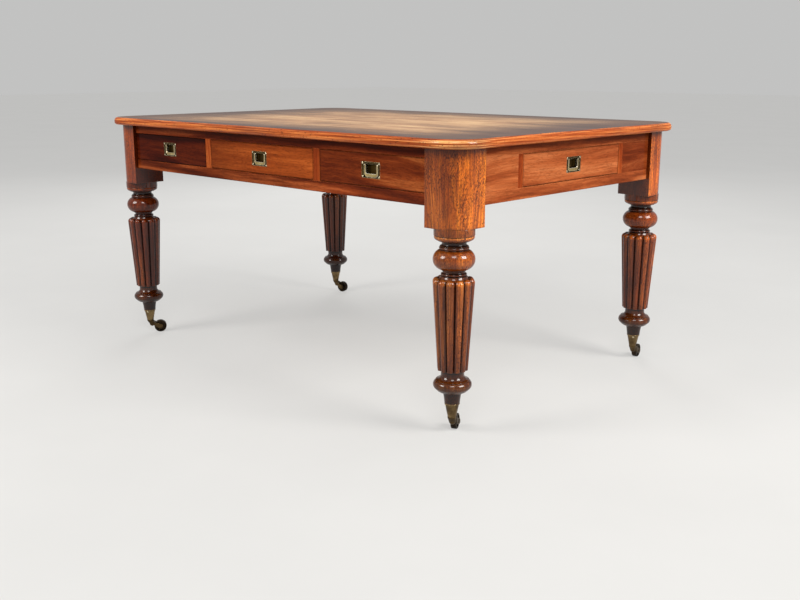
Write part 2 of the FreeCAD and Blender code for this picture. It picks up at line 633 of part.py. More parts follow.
def toe():
    """The tapered end of the leg inside the castor's cup."""
    low = CUP_FLOOR_HEIGHT + CUP_FLOOR + PINTLE_HEAD_GAP + PINTLE_HEAD_HEIGHT + TOE_ROOM
    slope = (CUP_TOP_RADIUS - CUP_BOTTOM_RADIUS) / CUP_HEIGHT
    top_radius = CUP_TOP_RADIUS - CUP_WALL - TOE_GAP
    low_radius = top_radius - slope * (CUP_TOP - low)
    return Part.makeCone(low_radius, top_radius, CUP_TOP - low, Vector(0, 0, low))


def leg():
    """A whole leg, turned and carved from one post."""
    head = turning(COLLAR_RADIUS, BLOCK_BOTTOM, HEAD_MOULDINGS)
    neck_radius = FOOT_MOULDINGS[0][1]
    foot = turning(neck_radius, SHAFT_BOTTOM, FOOT_MOULDINGS)
    return corner_block().fuse([head, reeded_shaft(), foot, toe()]).removeSplitter()


# ---- castors, with the swivel axis on Z and the wheel trailing towards +X ----
def castor_cup():
    """The tapered brass cup on the leg's end."""
    slope = (CUP_TOP_RADIUS - CUP_BOTTOM_RADIUS) / CUP_HEIGHT
    floor_top = CUP_FLOOR_HEIGHT + CUP_FLOOR
    bore = PINTLE_RADIUS + PINTLE_CLEARANCE
    rim_foot = CUP_TOP - CUP_RIM_HEIGHT
    rim_radius = CUP_TOP_RADIUS + CUP_RIM
    profile = [
        (bore, CUP_FLOOR_HEIGHT), (CUP_BOTTOM_RADIUS, CUP_FLOOR_HEIGHT),
        (CUP_TOP_RADIUS - slope * CUP_RIM_HEIGHT, rim_foot), (rim_radius, rim_foot),
        (rim_radius, CUP_TOP), (CUP_TOP_RADIUS - CUP_WALL, CUP_TOP),
        (CUP_BOTTOM_RADIUS - CUP_WALL + slope * CUP_FLOOR, floor_top), (bore, floor_top),
    ]
    return turned(polygon(profile))


def eye_point(angle):
    """A point on the rim of the cheeks' eye, at an angle from straight up."""
    turn = math.radians(angle)
    return Vector(CASTOR_TRAIL + FORK_EYE_RADIUS * math.sin(turn), 0,
                  WHEEL_RADIUS + FORK_EYE_RADIUS * math.cos(turn))


def castor_horn():
    """The swivelling horn: a round collar under the cup, swept back into a heel and two cheeks."""
    top = CUP_FLOOR_HEIGHT - SWIVEL_GAP
    collar_foot = top - HORN_COLLAR_HEIGHT
    collar = cylinder_z(HORN_COLLAR_RADIUS, (collar_foot, top))

    axis = Vector(0, 0, 1)
    collar_middle = Vector(0, 0, collar_foot)
    heel_middle = Vector(HORN_HEEL_REACH, 0, WHEEL_RADIUS + HORN_HEEL_RISE)
    rings = [Part.makeCircle(HORN_COLLAR_RADIUS, collar_middle, axis),
             Part.makeCircle(HORN_HEEL_RADIUS, heel_middle, axis)]
    sweep = Part.makeLoft([Part.Wire([ring]) for ring in rings], True, True)
    heel = Part.makeSphere(HORN_HEEL_RADIUS, heel_middle)

    cheek_front = Vector(CHEEK_FRONT_REACH, 0, collar_foot - CHEEK_DROP)
    cheek_back = Vector(CHEEK_TOP_REACH, 0, collar_foot - CHEEK_DROP)
    crown, tip, hock = [eye_point(angle) for angle in (CHEEK_CROWN_ANGLE, 90, CHEEK_HOCK_ANGLE)]
    belly = bowed(hock, cheek_front, CHEEK_BELLY)
    outline = Part.Wire([
        straight(cheek_front, cheek_back),
        bowed(cheek_back, crown, -CHEEK_HOLLOW),
        Part.Arc(crown, tip, hock).toShape(),
        belly,
    ])
    cheeks = Part.Face(outline).extrude(Vector(0, FORK_WIDTH, 0))
    cheeks.translate(Vector(0, -FORK_WIDTH / 2, 0))
    arrises = [e for e in cheeks.Edges
               if abs(e.Length - belly.Length) < 1e-6 and e.BoundBox.YLength < 1e-6]
    cheeks = cheeks.makeFillet(CHEEK_ROUND, arrises)

    slot = cylinder_y(WHEEL_RADIUS + FORK_WHEEL_GAP, about(0, WHEEL_WIDTH + 2 * FORK_SIDE_GAP),
                      CASTOR_TRAIL, WHEEL_RADIUS)
    bore = cylinder_y(AXLE_RADIUS, about(0, FORK_WIDTH), CASTOR_TRAIL, WHEEL_RADIUS)
    return collar.fuse([sweep, heel, cheeks]).removeSplitter().cut([slot, bore])


def castor_pintle():
    """The pin that stands up from the horn, headed over inside the cup."""
    horn_top = CUP_FLOOR_HEIGHT - SWIVEL_GAP
    head_foot = CUP_FLOOR_HEIGHT + CUP_FLOOR + PINTLE_HEAD_GAP
    shank = cylinder_z(PINTLE_RADIUS, (horn_top, head_foot))
    head = cylinder_z(PINTLE_HEAD_RADIUS, (head_foot, head_foot + PINTLE_HEAD_HEIGHT))
    return shank.fuse(head).removeSplitter()


def castor_axle():
    """The riveted pin through the cheeks."""
    half = FORK_WIDTH / 2
    shank = cylinder_y(AXLE_RADIUS, (-half, half), CASTOR_TRAIL, WHEEL_RADIUS)
    heads = [cylinder_y(AXLE_HEAD_RADIUS, span, CASTOR_TRAIL, WHEEL_RADIUS)
             for span in ((-half - AXLE_HEAD_HEIGHT, -half), (half, half + AXLE_HEAD_HEIGHT))]
    return shank.fuse(heads).removeSplitter()


def castor_wheel():
    """The solid wheel, recessed on both faces round its hub."""
    half = WHEEL_WIDTH / 2
    bore = AXLE_RADIUS + AXLE_CLEARANCE
    recess = half - WHEEL_RECESS_DEPTH
    upper = [
        (bore, half), (WHEEL_HUB_RADIUS, half), (WHEEL_HUB_RADIUS, recess),
        (WHEEL_RECESS_RADIUS, recess), (WHEEL_RECESS_RADIUS, half),
        (WHEEL_RADIUS - WHEEL_CHAMFER, half), (WHEEL_RADIUS, half - WHEEL_CHAMFER),
    ]
    lower = [(radius, -height) for radius, height in reversed(upper)]
    wheel = turned(polygon(upper + lower))
    wheel.Placement = Placement(Vector(CASTOR_TRAIL, 0, WHEEL_RADIUS),
                                Rotation(Vector(1, 0, 0), 90))
    return wheel


# ---- assembly ----
def assemble():
    """Every node of the table, as a list of solids for each name."""
    nodes = {"desk_top": [desk_top()]}
    nodes.update(frame())
    nodes.update(dividers())
    nodes["drawer_runners"] = runners()
    nodes["drawer_kickers"] = kickers()

    post = leg()
    cup = castor_cup()
    horn = [castor_horn(), castor_pintle(), castor_axle()]
    wheel = castor_wheel()
    nodes["castor_cups"] = []
    for corner, (x, y, turn) in CORNERS.items():
        trail = CASTOR_TRAIL_ANGLES[corner]
        nodes[f"leg_{corner}"] = [placed(post, x, y, 0, turn)]
        nodes["castor_cups"].append(placed(cup, x, y, 0, turn))
        nodes[f"castor_horn_{corner}"] = [placed(part, x, y, 0, trail) for part in horn]
        nodes[f"castor_wheel_{corner}"] = [placed(wheel, x, y, 0, trail)]

    plate = handle_plate()
    bail = handle_bail()
    for name, (x, y, turn, width, room) in DRAWERS.items():
        front, carcass = drawer_shapes(width, room)
        parts = {"drawer_front": [front], "drawer_box": carcass,
                 "handle_plate": [plate], "handle_bail": [bail]}
        for part, shapes in parts.items():
            nodes[f"{name}_{part}"] = [placed(s, x, y, OPENING_BOTTOM, turn) for s in shapes]
    return nodes


os.makedirs("parts", exist_ok=True)
for name, solids in assemble().items():
    shape = solids[0] if len(solids) == 1 else Part.makeCompound(solids)
    shape.exportStep(f"parts/{name}.step")
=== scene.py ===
import json
import math

import bmesh
import bpy
from mathutils import Euler, Matrix, Vector

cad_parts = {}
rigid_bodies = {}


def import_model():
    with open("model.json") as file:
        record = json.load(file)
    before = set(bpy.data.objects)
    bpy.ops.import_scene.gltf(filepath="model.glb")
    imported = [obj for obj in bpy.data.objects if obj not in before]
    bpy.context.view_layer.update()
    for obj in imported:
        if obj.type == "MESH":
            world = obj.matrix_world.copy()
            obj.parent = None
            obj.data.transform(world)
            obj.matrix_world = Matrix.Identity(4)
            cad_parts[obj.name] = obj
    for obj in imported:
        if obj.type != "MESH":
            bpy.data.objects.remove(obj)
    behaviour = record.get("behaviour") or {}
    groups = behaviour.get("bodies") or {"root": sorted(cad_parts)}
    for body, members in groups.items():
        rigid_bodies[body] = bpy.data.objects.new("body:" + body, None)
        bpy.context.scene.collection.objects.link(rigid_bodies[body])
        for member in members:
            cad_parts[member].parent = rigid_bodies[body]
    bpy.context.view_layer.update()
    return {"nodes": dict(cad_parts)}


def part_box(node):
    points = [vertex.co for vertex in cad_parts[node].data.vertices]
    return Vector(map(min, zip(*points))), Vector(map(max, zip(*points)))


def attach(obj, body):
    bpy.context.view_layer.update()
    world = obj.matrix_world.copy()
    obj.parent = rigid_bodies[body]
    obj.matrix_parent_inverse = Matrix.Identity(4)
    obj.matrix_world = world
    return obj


# Looks of the partners' writing table: mahogany in several cuts, aged brass, screws, floor, lamps
# and camera. Metres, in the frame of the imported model.

for leftover in list(bpy.data.objects):
    bpy.data.objects.remove(leftover)

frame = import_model()
nodes = frame["nodes"]

# ---- the table's pieces ----
CORNERS = ("front_left", "front_right", "rear_left", "rear_right")
LONG_DRAWERS = ("front_left", "front_middle", "front_right",
                "rear_right", "rear_middle", "rear_left")
END_DRAWERS = ("right_end", "left_end")
DRAWERS = LONG_DRAWERS + END_DRAWERS

# Each drawer's outward direction and the direction along its front
OUTWARD = {name: (Vector((0, -1, 0)), Vector((1, 0, 0))) for name in LONG_DRAWERS[:3]}
OUTWARD.update({name: (Vector((0, 1, 0)), Vector((1, 0, 0))) for name in LONG_DRAWERS[3:]})
OUTWARD["right_end"] = (Vector((1, 0, 0)), Vector((0, 1, 0)))
OUTWARD["left_end"] = (Vector((-1, 0, 0)), Vector((0, 1, 0)))


def leg_axis(corner):
    """The middle of a leg, seen from above."""
    low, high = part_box(f"leg_{corner}")
    return (low.x + high.x) / 2, (low.y + high.y) / 2


LEG_AXES = {corner: leg_axis(corner) for corner in CORNERS}
REEDS_FOOT = 0.1682         # just over the leg's neck
REEDS_HEAD = 0.409
CREST_AT_FOOT = 0.0397      # how far the reeds' crests stand from the axis
CREST_AT_HEAD = 0.0540
BLOCK_FOOT = 0.5405         # just over the underside of a corner block
BACK_BOARD = 0.0102         # thickness of a drawer's back, with a little to spare

# ---- camera ----
CAMERA_PLACE = Vector((2.2294, -2.2397, 0.9265))
CAMERA_DOWN = math.radians(13.70)
CAMERA_TURN = math.radians(43.615)
CAMERA_LENS = 43.12         # millimetres, as the sensor
CAMERA_SENSOR = 36.0
CAMERA_NEAR = 0.05          # nearest and farthest that it shows
CAMERA_FAR = 200.0

# ---- lamps and surroundings ----
WORLD_COLOUR = (0.80, 0.81, 0.82)
WORLD_STRENGTH = 0.42
FLOOR_REACH = 30.0
FLOOR_COLOUR = (0.50, 0.495, 0.48)
FLOOR_LIFT = 0.5            # share of the floor's pale glow, for the rays that show it
PALE = (0.86, 0.855, 0.84)
BACKGROUND = (0.54, 0.54, 0.535)
WHITE = (1.0, 1.0, 1.0)
WARM = (1.0, 0.98, 0.95)
LAMP_AIM = (0.0, 0.0, 0.45)
# Name, place, side, watts, colour, and whether it shows in reflections
LAMPS = (("left_softbox", (-1.7, -4.2, 3.2), 2.0, 180.0, WARM, True),
         ("right_softbox", (4.2, 0.6, 3.2), 2.0, 226.0, WARM, True),
         ("middle_softbox", (2.5, -2.5, 4.0), 1.5, 75.0, WHITE, True),
         ("ceiling", (0.0, 0.6, 3.4), 3.0, 20.0, WHITE, False),
         ("back_softbox", (-3.4, 3.2, 2.6), 2.0, 90.0, WHITE, False))


# ---- colours ----
def linear(red, green, blue):
    """A colour read on screen, from 0 to 255, as linear light."""
    return tuple(((part / 255 + 0.055) / 1.055) ** 2.4 for part in (red, green, blue))


def tones(*colours):
    """Tones of one wood, from deep to light."""
    return tuple(linear(*colour) for colour in colours)


def tinted(wood, tint):
    """The same tones, each multiplied by a tint."""
    return tuple(tuple(part * share for part, share in zip(tone, tint)) for tone in wood)


def scaled(parts, share):
    """A colour or place with each part multiplied by a share."""
    return [part * share for part in parts]


DARK_RED = tones((34, 7, 2), (52, 12, 3), (66, 18, 5), (88, 31, 10))
STREAKED = tones((80, 26, 8), (110, 44, 15), (132, 58, 23), (178, 98, 48))
RAIL_RED = tones((58, 18, 5), (84, 30, 9), (106, 43, 15), (150, 74, 36))
UPPER_RED = tones((64, 19, 5), (92, 32, 10), (114, 44, 15), (144, 68, 32))
UPRIGHT = tones((98, 34, 11), (126, 48, 16), (146, 62, 23), (176, 90, 40))
ORANGE = tones((100, 38, 10), (132, 56, 17), (154, 70, 24), (178, 88, 34))
END_WOOD = tones((108, 46, 20), (144, 68, 32), (168, 88, 46), (192, 112, 66))
BLOCK = tones((86, 31, 3), (133, 57, 8), (163, 79, 14), (196, 110, 30))
HONEY = tones((132, 92, 58), (178, 134, 92), (212, 170, 120))
BORDER = tones((58, 34, 24), (76, 47, 34), (92, 60, 44))
TOP_EDGE = tones((120, 46, 14), (174, 82, 32), (210, 124, 62))
LINING = tones((120, 82, 48), (178, 134, 86))
CARCASS = tones((84, 56, 36), (128, 90, 58))
TOP_FLECK = linear(52, 22, 12)
TOP_STAIN = linear(96, 66, 46)
TOP_ARRIS = linear(222, 158, 98)
# rubbing wear and painted highlight on the top's corners
TOP_CORNER_WEAR_AND_HIGHLIGHT = linear(240, 182, 116)

# What the wood's colour is multiplied by, up each leg: the turned parts' own tones, with painted
# shade and painted highlights where marked
LEG_HEIGHTS = (
    (0.095, (0.05, 0.09, 0.20)),        # ankle
    (0.115, (0.12, 0.18, 0.40)),        # underside of the foot ring
    (0.145, (0.24, 0.28, 0.60)),        # slope over the foot ring
    (0.168, (0.24, 0.24, 0.42)),        # head of the neck
    (0.200, (0.36, 0.34, 0.45)),        # shaft
    (0.398, (0.39, 0.36, 0.46)),
    (0.405, (0.74, 0.80, 1.45)),        # painted highlight on the domed heads of the reeds
    (0.413, (0.74, 0.80, 1.45)),
    (0.415, (0.34, 0.33, 0.50)),        # shoulder over the reeds
    (0.432, (0.50, 0.48, 0.75)),        # hollow under the bulb
    (0.465, (0.60, 0.58, 1.10)),        # bulb
    (0.480, (0.60, 0.58, 1.10)),
    (0.488, (0.42, 0.42, 0.70)),        # bead over the bulb
    (0.496, (0.10, 0.09, 0.15)),        # painted shade in the deep hollow
    (0.506, (0.10, 0.09, 0.15)),
    (0.510, (0.50, 0.50, 0.75)),        # ring
    (0.5155, (0.62, 0.62, 0.95)),
    (0.5165, (1.45, 1.95, 5.20)),       # painted highlight on its upper side
    (0.5195, (1.45, 1.95, 5.20)),
    (0.5205, (0.45, 0.42, 0.55)),       # painted shade in the quirk under the collar
    (0.540, (0.60, 0.60, 0.80)),        # head of the collar
    (0.545, WHITE),                     # corner block
    (0.700, WHITE),
    (0.724, (0.62, 0.58, 0.56)),        # shade under the top
    (0.736, (0.26, 0.22, 0.22)))
# Each leg's tint and painted shade: the rear left leg darkened as painted shade, the front left
# redder and darker, partly painted shade, the rear right redder
LEG_TINTS_AND_SHADES = {"front_left": (0.84, 0.64, 0.50), "front_right": WHITE,
             "rear_left": (0.62, 0.54, 0.60), "rear_right": (1.0, 0.88, 0.90)}

# The same for other pieces: an axis, where its stops count from, and the stops
LEG_BANDS = ("Z", 0.0, LEG_HEIGHTS)
# Painted shade under the top: the upper rails darkened towards their top edge
UPPER_RAIL_SHADE = ("Z", 0.700, ((0.0, WHITE), (0.020, WHITE), (0.036, (0.34, 0.30, 0.30))))
# Painted light: the front lower rail lightened towards its right end
LOWER_RAIL_LIGHT = ("X", 0.0, ((0.10, WHITE), (0.38, (1.6, 1.6, 1.7)), (0.56, (1.7, 1.75, 1.9))))
DRAWER_BANDS = ("X", -0.235, ((0.0, (0.48, 0.43, 0.43)), (0.20, (0.90, 0.90, 0.95)),
                              (0.47, (1.08, 1.12, 1.20))))
PANEL_BANDS = ("Y", -0.5, ((0.30, WHITE), (0.60, (0.55, 0.42, 0.34))))

# Painted light: the right legs' faces towards the end of the table are lightened, as if lit from that
# side
LIT_END_FACE = (0.733, 0.761)        # where along X this starts and is full
END_FACE_LIGHT = (2.05, 2.45, 3.00)
CREST_HIGHLIGHT = (1.7, 1.8, 2.1)       # what a crest's painted highlight multiplies its colour by

# ---- patterns: waves a metre along and across the grain, detail and roughness ----
DRIFT = (2.2, 5.0, 5.0)             # waves along X, Y and Z only, with Blender's own roughness
DRIFT_DETAIL = 2.0
GROWTH = (0.9, 16.0, 1.0, 0.4)
BROAD = (1.5, 20.0, 3.0, 0.55)
STREAKS = (5.0, 110.0, 4.0, 0.6)
CLOUD = (3.4, 6.0, 2.0, 0.5)
PORE_PATCHES = (11.0, 22.0, 3.0, 0.6)
CREST_HIGHLIGHT_PATCHES = (6.0, 90.0, 3.0, 0.6)
SCUFFS = (14.0, 30.0, 4.0, 0.7)
SMEAR = (5.0, 11.0, 4.0, 0.65)
TOP_BORDER = (4.0, 6.0, 4.0, 0.6)
TOP_DRIFT = (1.2, 5.0, 2.0, 0.5)
TOP_BROAD = (0.9, 13.0, 3.0, 0.55)
TOP_STREAKS = (2.6, 66.0, 4.0, 0.62)
TOP_LINES = (10.0, 480.0, 3.0, 0.6)
TOP_CLOUD = (6.0, 11.0, 3.0, 0.6)
TOP_PORES = (45.0, 620.0, 2.5, 0.62)
TOP_DENTS = (130.0, 260.0, 2.5, 0.62)
TOP_STAINS = (3.2, 5.0, 4.0, 0.6)
TOP_SMEAR = (2.0, 4.0, 4.0, 0.6)
PLAIN_STREAKS = (3.0, 70.0, 4.0, 0.6)
PLAIN_LINES = (20.0, 700.0, 3.0, 0.6)
PLAIN_STAINS = (9.0, 9.0, 4.0, 0.6)
SPECKS = (700.0, 700.0, 3.0, 0.7)   # in brass
FLOOR_CLOUD = (1.3, 1.3, 4.0, 0.6)
EDGE_WAVES = (5.0, 5.0, 420.0)      # of the layers in the top's moulded edge, along X, Y and Z
EDGE_NOISE = (4.0, 0.65)            # their detail and roughness
SCRATCH_WAVES = (900.0, 900.0, 60.0)        # the same for scratches in brass
SCRATCH_NOISE = (2.0, 0.6)
BLOTCH_NOISE = (3.0, 0.55)          # detail and roughness, for tarnish whose waves are a piece's own
PORE_NOISE = (2.5, 0.62)            # the same for pores
LINE_NOISE = (3.0, 0.6)             # and for fine lines
MOST_NOISE = (0.30, 0.70)           # where nearly all values of a noise lie
WANDER = 0.07                       # how far a drift pushes the grain
TOP_WANDER = 0.05
SEED_STEP = (3.7, 1.9, 2.3)         # from one part of the pattern to the next
TOP_SEED = 0.3
LINING_SEED = 1.3                   # from one drawer's lining to the next

# ---- tones: where they lie in a pattern's range ----
TONE_PLACES = (0.0, 0.32, 0.66, 1.0)        # of deep, dark, middle and light
TOP_CONTRAST = (0.36, 0.64)
EDGE_CONTRAST = (0.34, 0.66)
PLAIN_CONTRAST = (0.32, 0.68)
TOP_LINES_SHADE = (0.86, 1.08)      # darkest and lightest
PLAIN_LINES_SHADE = (0.84, 1.06)
FLOOR_SHADE = (0.97, 1.03)

# ---- wear, dirt, painted highlights and painted shade: where they start and are full ----
ARRIS_TURN = (0.995, 0.86)          # cosine between the surface and its rounded normal
OUTLINE_EDGE = (0.0032, 0.0008)     # metres in from a drawer front's outline
REED_CREST = (0.93, 0.99)           # shares of the radius at the crests
REED_GROOVE = (0.90, 0.82)
CREST_HIGHLIGHT_START = (0.34, 0.62)        # of the noises from here down to the specks
SCUFF_START = (0.34, 0.60)
PORE_START = (0.53, 0.61)
TOP_PORE_START = (0.56, 0.64)
TOP_DENT_START = (0.60, 0.68)
TOP_STAIN_START = (0.50, 0.72)
TARNISH_START = (0.34, 0.68)
SPECK_START = (0.60, 0.74)
PORE_CROWDING = (0.30, 0.66, 0.045, -0.045)     # what the patches' noise moves the pores' start by
INWARD = (0.6, 0.9)                 # how far a face looks in under the table
OUTWARD_FACE = 0.9                  # how far the outer face of a drawer front looks out
BORDER_RATES = {"left": 0.50, "right": 0.60, "front": 1.10, "rear": 0.75}
BORDER_ROUND = 0.10                 # how round the border's corners are
BORDER_RAGGED = 0.13
BORDER_END = (0.03, 0.28)           # how far in the border turns to honey
LIT_CORNER_SIDE = 0.16                 # how far along each side the top's corners reach
LIT_CORNER_EDGE = (-0.05, 0.09)        # over that, where their rubbing and painted highlight start and are full
LIT_CORNER_SPREAD = (0.70, 1.20, 0.2, 1.0)     # the same for x - y: least at the other corners, most with the painted highlight at the front right one
LIT_CORNER_LAYERS = (0.50, 0.64, 0.0, 0.75)    # and for the layers
TOP_UPWARD = (0.999, 0.95)          # how far the top faces up, down to its moulded edge
DENTS_UPWARD = (0.995, 0.93)        # the same where its pores give way to dents
PLAIN_NOOKS = (0.02, 0.95, 0.35)    # reach, and openness where the dust and painted shade start and are full
TOP_ARRIS_WIDTH = 0.0010
BEVEL_SAMPLES = 4
NOOK_SAMPLES = 6

# ---- and how strong they are ----
OUTLINE_STRENGTH = 0.85
INNER_STRENGTH = 0.85
CREST_STRENGTH = 0.8
GROOVE_STRENGTH = 0.92
TOP_PORE_STRENGTH = 0.30
TOP_DENT_STRENGTH = 0.75
TOP_STAIN_STRENGTH = 0.50
TOP_ARRIS_WEAR_AND_LIGHT = 0.45
DUST_AND_SHADE_STRENGTH = 0.55
SPECK_STRENGTH = 0.35

# Shares of a piece's own deep or light tone, or of its tarnish
PORE_DARK = 0.55
INNER_DARK = 0.55
OUTLINE_DARK = 0.12
NOOK_DARK = 0.10
GROOVE_DARK = 0.08
DUST_AND_SHADE_DARK = 0.4
ARRIS_BRIGHT = 1.5
SPECK_DARK = 0.4
BRASS_NOOK_DARK = 0.12

# ---- gloss and relief ----
COAT_ROUGH = 0.11
SMEAR_RANGE = (0.25, 0.75)
SMEAR_GLOSSIER = 0.06               # how far smears in the polish take its roughness down
SMEAR_DULLER = 0.12                 # and up
SCRATCH_GLOSSIER = 0.05             # the same for scratches in brass
SCRATCH_DULLER = 0.08
GRIME_DULLER = 0.30                 # and for dirt in the polish
TARNISH_DULLER = 0.15               # and for tarnish and dirt on brass
TOP_ROUGH = (0.22, 0.38)
PLAIN_ROUGH = (0.55, 0.72)
WOOD_RELIEF = 0.0006                # depth, in the polish and on the brass
BRASS_RELIEF = 0.0003
TOP_BUMP = 0.10                     # share of that depth
PLAIN_BUMP = 0.25
BRASS_BUMP = 0.12
LINE_HEIGHT = 0.35                  # of each pattern in the relief
PORE_HEIGHT = -0.8
SMEAR_HEIGHT = 0.6

# A Mix node has sockets for each kind of value: two inputs and an output
MIX_SOCKETS = {"FLOAT": (2, 3, 0), "VECTOR": (4, 5, 1), "RGBA": (6, 7, 2)}


# ---- material tools ----
def is_socket(value):
    """Whether a value comes out of another node."""
    return isinstance(value, bpy.types.NodeSocket)


class Shader:
    """A node material, or the world's nodes, under construction."""

    def __init__(self, name, world=None):
        self.material = world or bpy.data.materials.new(name)
        self.material.use_nodes = True
        self.tree = self.material.node_tree
        self.tree.nodes.clear()
        kind = "ShaderNodeOutputWorld" if world else "ShaderNodeOutputMaterial"
        self.output = self.tree.nodes.new(kind)

    def node(self, kind, inputs=None, **settings):
        """A node with its settings and its inputs, which are values or sockets."""
        made = self.tree.nodes.new("ShaderNode" + kind)
        for key, value in settings.items():
            setattr(made, key, value)
        for key, value in (inputs or {}).items():
            if is_socket(value):
                self.tree.links.new(value, made.inputs[key])
            else:
                made.inputs[key].default_value = value
        return made

    def finish(self, surface):
        """Ends the material in a shader."""
        self.tree.links.new(surface.outputs[0], self.output.inputs["Surface"])
        return self.material

    # -- places and directions --
    def place(self):
        """Object coordinates, which on the CAD's pieces are places in the frame at rest."""
        return self.node("TexCoord").outputs["Object"]

    def level(self, axis):
        """How far along an axis a point is."""
        return self.node("SeparateXYZ", {0: self.place()}).outputs[axis]

    def facing(self, axis):
        """How far the surface faces along an axis."""
        normal = self.node("NewGeometry").outputs["Normal"]
        return self.node("SeparateXYZ", {0: normal}).outputs[axis]

    # -- arithmetic --
    def math(self, operation, a, b=0.0, c=0.0):
        """One arithmetic step."""
        return self.node("Math", {0: a, 1: b, 2: c}, operation=operation).outputs[0]

    def vector(self, operation, a, b):
        """One step with vectors."""
        return self.node("VectorMath", {0: a, 1: b}, operation=operation).outputs["Vector"]

    def product(self, first, *others):
        """Values multiplied together."""
        for other in others:
            first = self.math("MULTIPLY", first, other)
        return first

    def weighted(self, *parts):
        """A sum of values, each times its weight."""
        total = 0.0
        for value, weight in parts:
            total = self.math("MULTIPLY_ADD", value, weight, total)
        return total

    def span(self, value, low, high, to_low=0.0, to_high=1.0):
        """A value carried smoothly from one range to another and held inside it."""
        made = self.node("MapRange", {"Value": value, "From Min": low, "From Max": high,
                                      "To Min": to_low, "To Max": to_high},
                         interpolation_type="SMOOTHSTEP")
        return made.outputs["Result"]

    def mix(self, kind, factor, first, second, **settings):
        """Two values of one kind mixed."""
        start, stop, result = MIX_SOCKETS[kind]
        made = self.node("Mix", {"Factor": factor, start: first, stop: second},
                         data_type=kind, **settings)
        return made.outputs[result]

    # -- patterns --
    def stretched(self, vector, waves):
        """Coordinates scaled by the waves a metre along X, Y and Z."""
        made = self.node("Mapping", {"Vector": vector, "Scale": waves})
        return made.outputs["Vector"]

    def noise(self, vector, detail, roughness, distortion=0.0):
        """Noise from about 0 to 1."""
        made = self.node("TexNoise", {"Vector": vector, "Scale": 1.0, "Detail": detail,
                                      "Roughness": roughness, "Distortion": distortion})
        return made.outputs["Fac"]

    def grain(self, vector, along, across, detail, roughness, distortion=0.0):
        """Noise with its own waves a metre along the grain, which is X, and across it."""
        waved = self.stretched(vector, (along, across, across))
        return self.noise(waved, detail, roughness, distortion)

    # -- colours --
    def blend(self, factor, first, second, mode="MIX"):
        """Two colours mixed."""
        first, second = (value if is_socket(value) else (*value, 1.0) for value in (first, second))
        return self.mix("RGBA", factor, first, second, blend_type=mode)

    def multiplied(self, colour, factor):
        """A colour multiplied by a grey value."""
        grey = self.node("CombineColor", {0: factor, 1: factor, 2: factor}).outputs[0]
        return self.blend(1.0, colour, grey, "MULTIPLY")

    def ramp(self, factor, stops):
        """A colour for each part of a range: stops are (place, colour)."""
        made = self.node("ValToRGB", {"Fac": factor})
        band = made.color_ramp.elements
        while len(band) < len(stops):
            band.new(0.5)
        for element, (place, colour) in zip(band, stops):
            element.position = place
            element.color = (*colour, 1.0)
        return made.outputs["Color"]

    def toned(self, factor, wood):
        """A wood's tones at even steps of a value."""
        return self.ramp(factor, [(step / (len(wood) - 1), tone) for step, tone in enumerate(wood)])

    # -- wear --
    def lit_worn_arris(self, radius, turned=ARRIS_TURN):
        """How far a point is on an arris, where wear and painted highlights lighten it, with the
        rounded normal that shows it.
        """
        normal = self.node("Bevel", {"Radius": radius}, samples=BEVEL_SAMPLES).outputs["Normal"]
        flat = self.node("NewGeometry").outputs["Normal"]
        turn = self.node("VectorMath", {0: normal, 1: flat}, operation="DOT_PRODUCT")
        return self.span(turn.outputs["Value"], *turned), normal

    def nooks(self, reach, openness, closeness):
        """How deep in a nook a point is, between an open place and a closed one."""
        shade = self.node("AmbientOcclusion", {"Distance": reach}, samples=NOOK_SAMPLES,
                          only_local=True)
        return self.span(shade.outputs["AO"], openness, closeness)

    def relief(self, strength, depth, height, normal=None):
        """The normal over a small relief."""
        inputs = {"Strength": strength, "Distance": depth, "Height": height}
        if normal is not None:
            inputs["Normal"] = normal
        return self.node("Bump", inputs).outputs["Normal"]


# ---- wood ----
def grain_coordinates(s, grain, seed):
    """Object coordinates with X along the grain, moved to a part of the pattern of their own."""
    turns = {"X": (0, 0, 0), "Y": (0, 0, -math.pi / 2), "Z": (0, math.pi / 2, 0)}
    mapping = s.node("Mapping", {"Vector": s.place(), "Rotation": turns[grain],
                                 "Location": scaled(SEED_STEP, seed)})
    return mapping.outputs["Vector"]


def wandering(s, place, wave):
    """Grain coordinates pushed across the grain by a slow drift."""
    drift = s.node("TexNoise", {"Vector": s.stretched(place, DRIFT), "Scale": 1.0,
                                "Detail": DRIFT_DETAIL})
    shift = s.vector("SUBTRACT", drift.outputs["Color"], (0.5, 0.5, 0.5))
    shift = s.vector("MULTIPLY", shift, (0.0, WANDER * wave, WANDER * wave))
    return s.vector("ADD", place, shift)


def figured(s, place, bent, rings, figure):
    """How light the wood is, by weights that add up to one: figure sets the share of the rings."""
    growth = s.math("SINE", s.math("MULTIPLY", s.grain(bent, *GROWTH), 2 * math.pi * rings))
    ring = s.math("MULTIPLY_ADD", growth, 0.5, 0.5)
    tone = s.weighted((ring, 0.22 * figure),
                      (s.grain(bent, *BROAD), 0.50 - 0.14 * figure),
                      (s.grain(bent, *STREAKS), 0.35),
                      (s.grain(place, *CLOUD), 0.15 - 0.08 * figure))
    return s.span(tone, *MOST_NOISE)


def dark_pores(s, place, bent, waves, strength):
    """Short dark pores, which crowd in patches."""
    marks = s.grain(bent, *waves, *PORE_NOISE)
    patch = s.span(s.grain(place, *PORE_PATCHES), *PORE_CROWDING)
    return s.product(s.span(s.math("SUBTRACT", marks, patch), *PORE_START), strength)


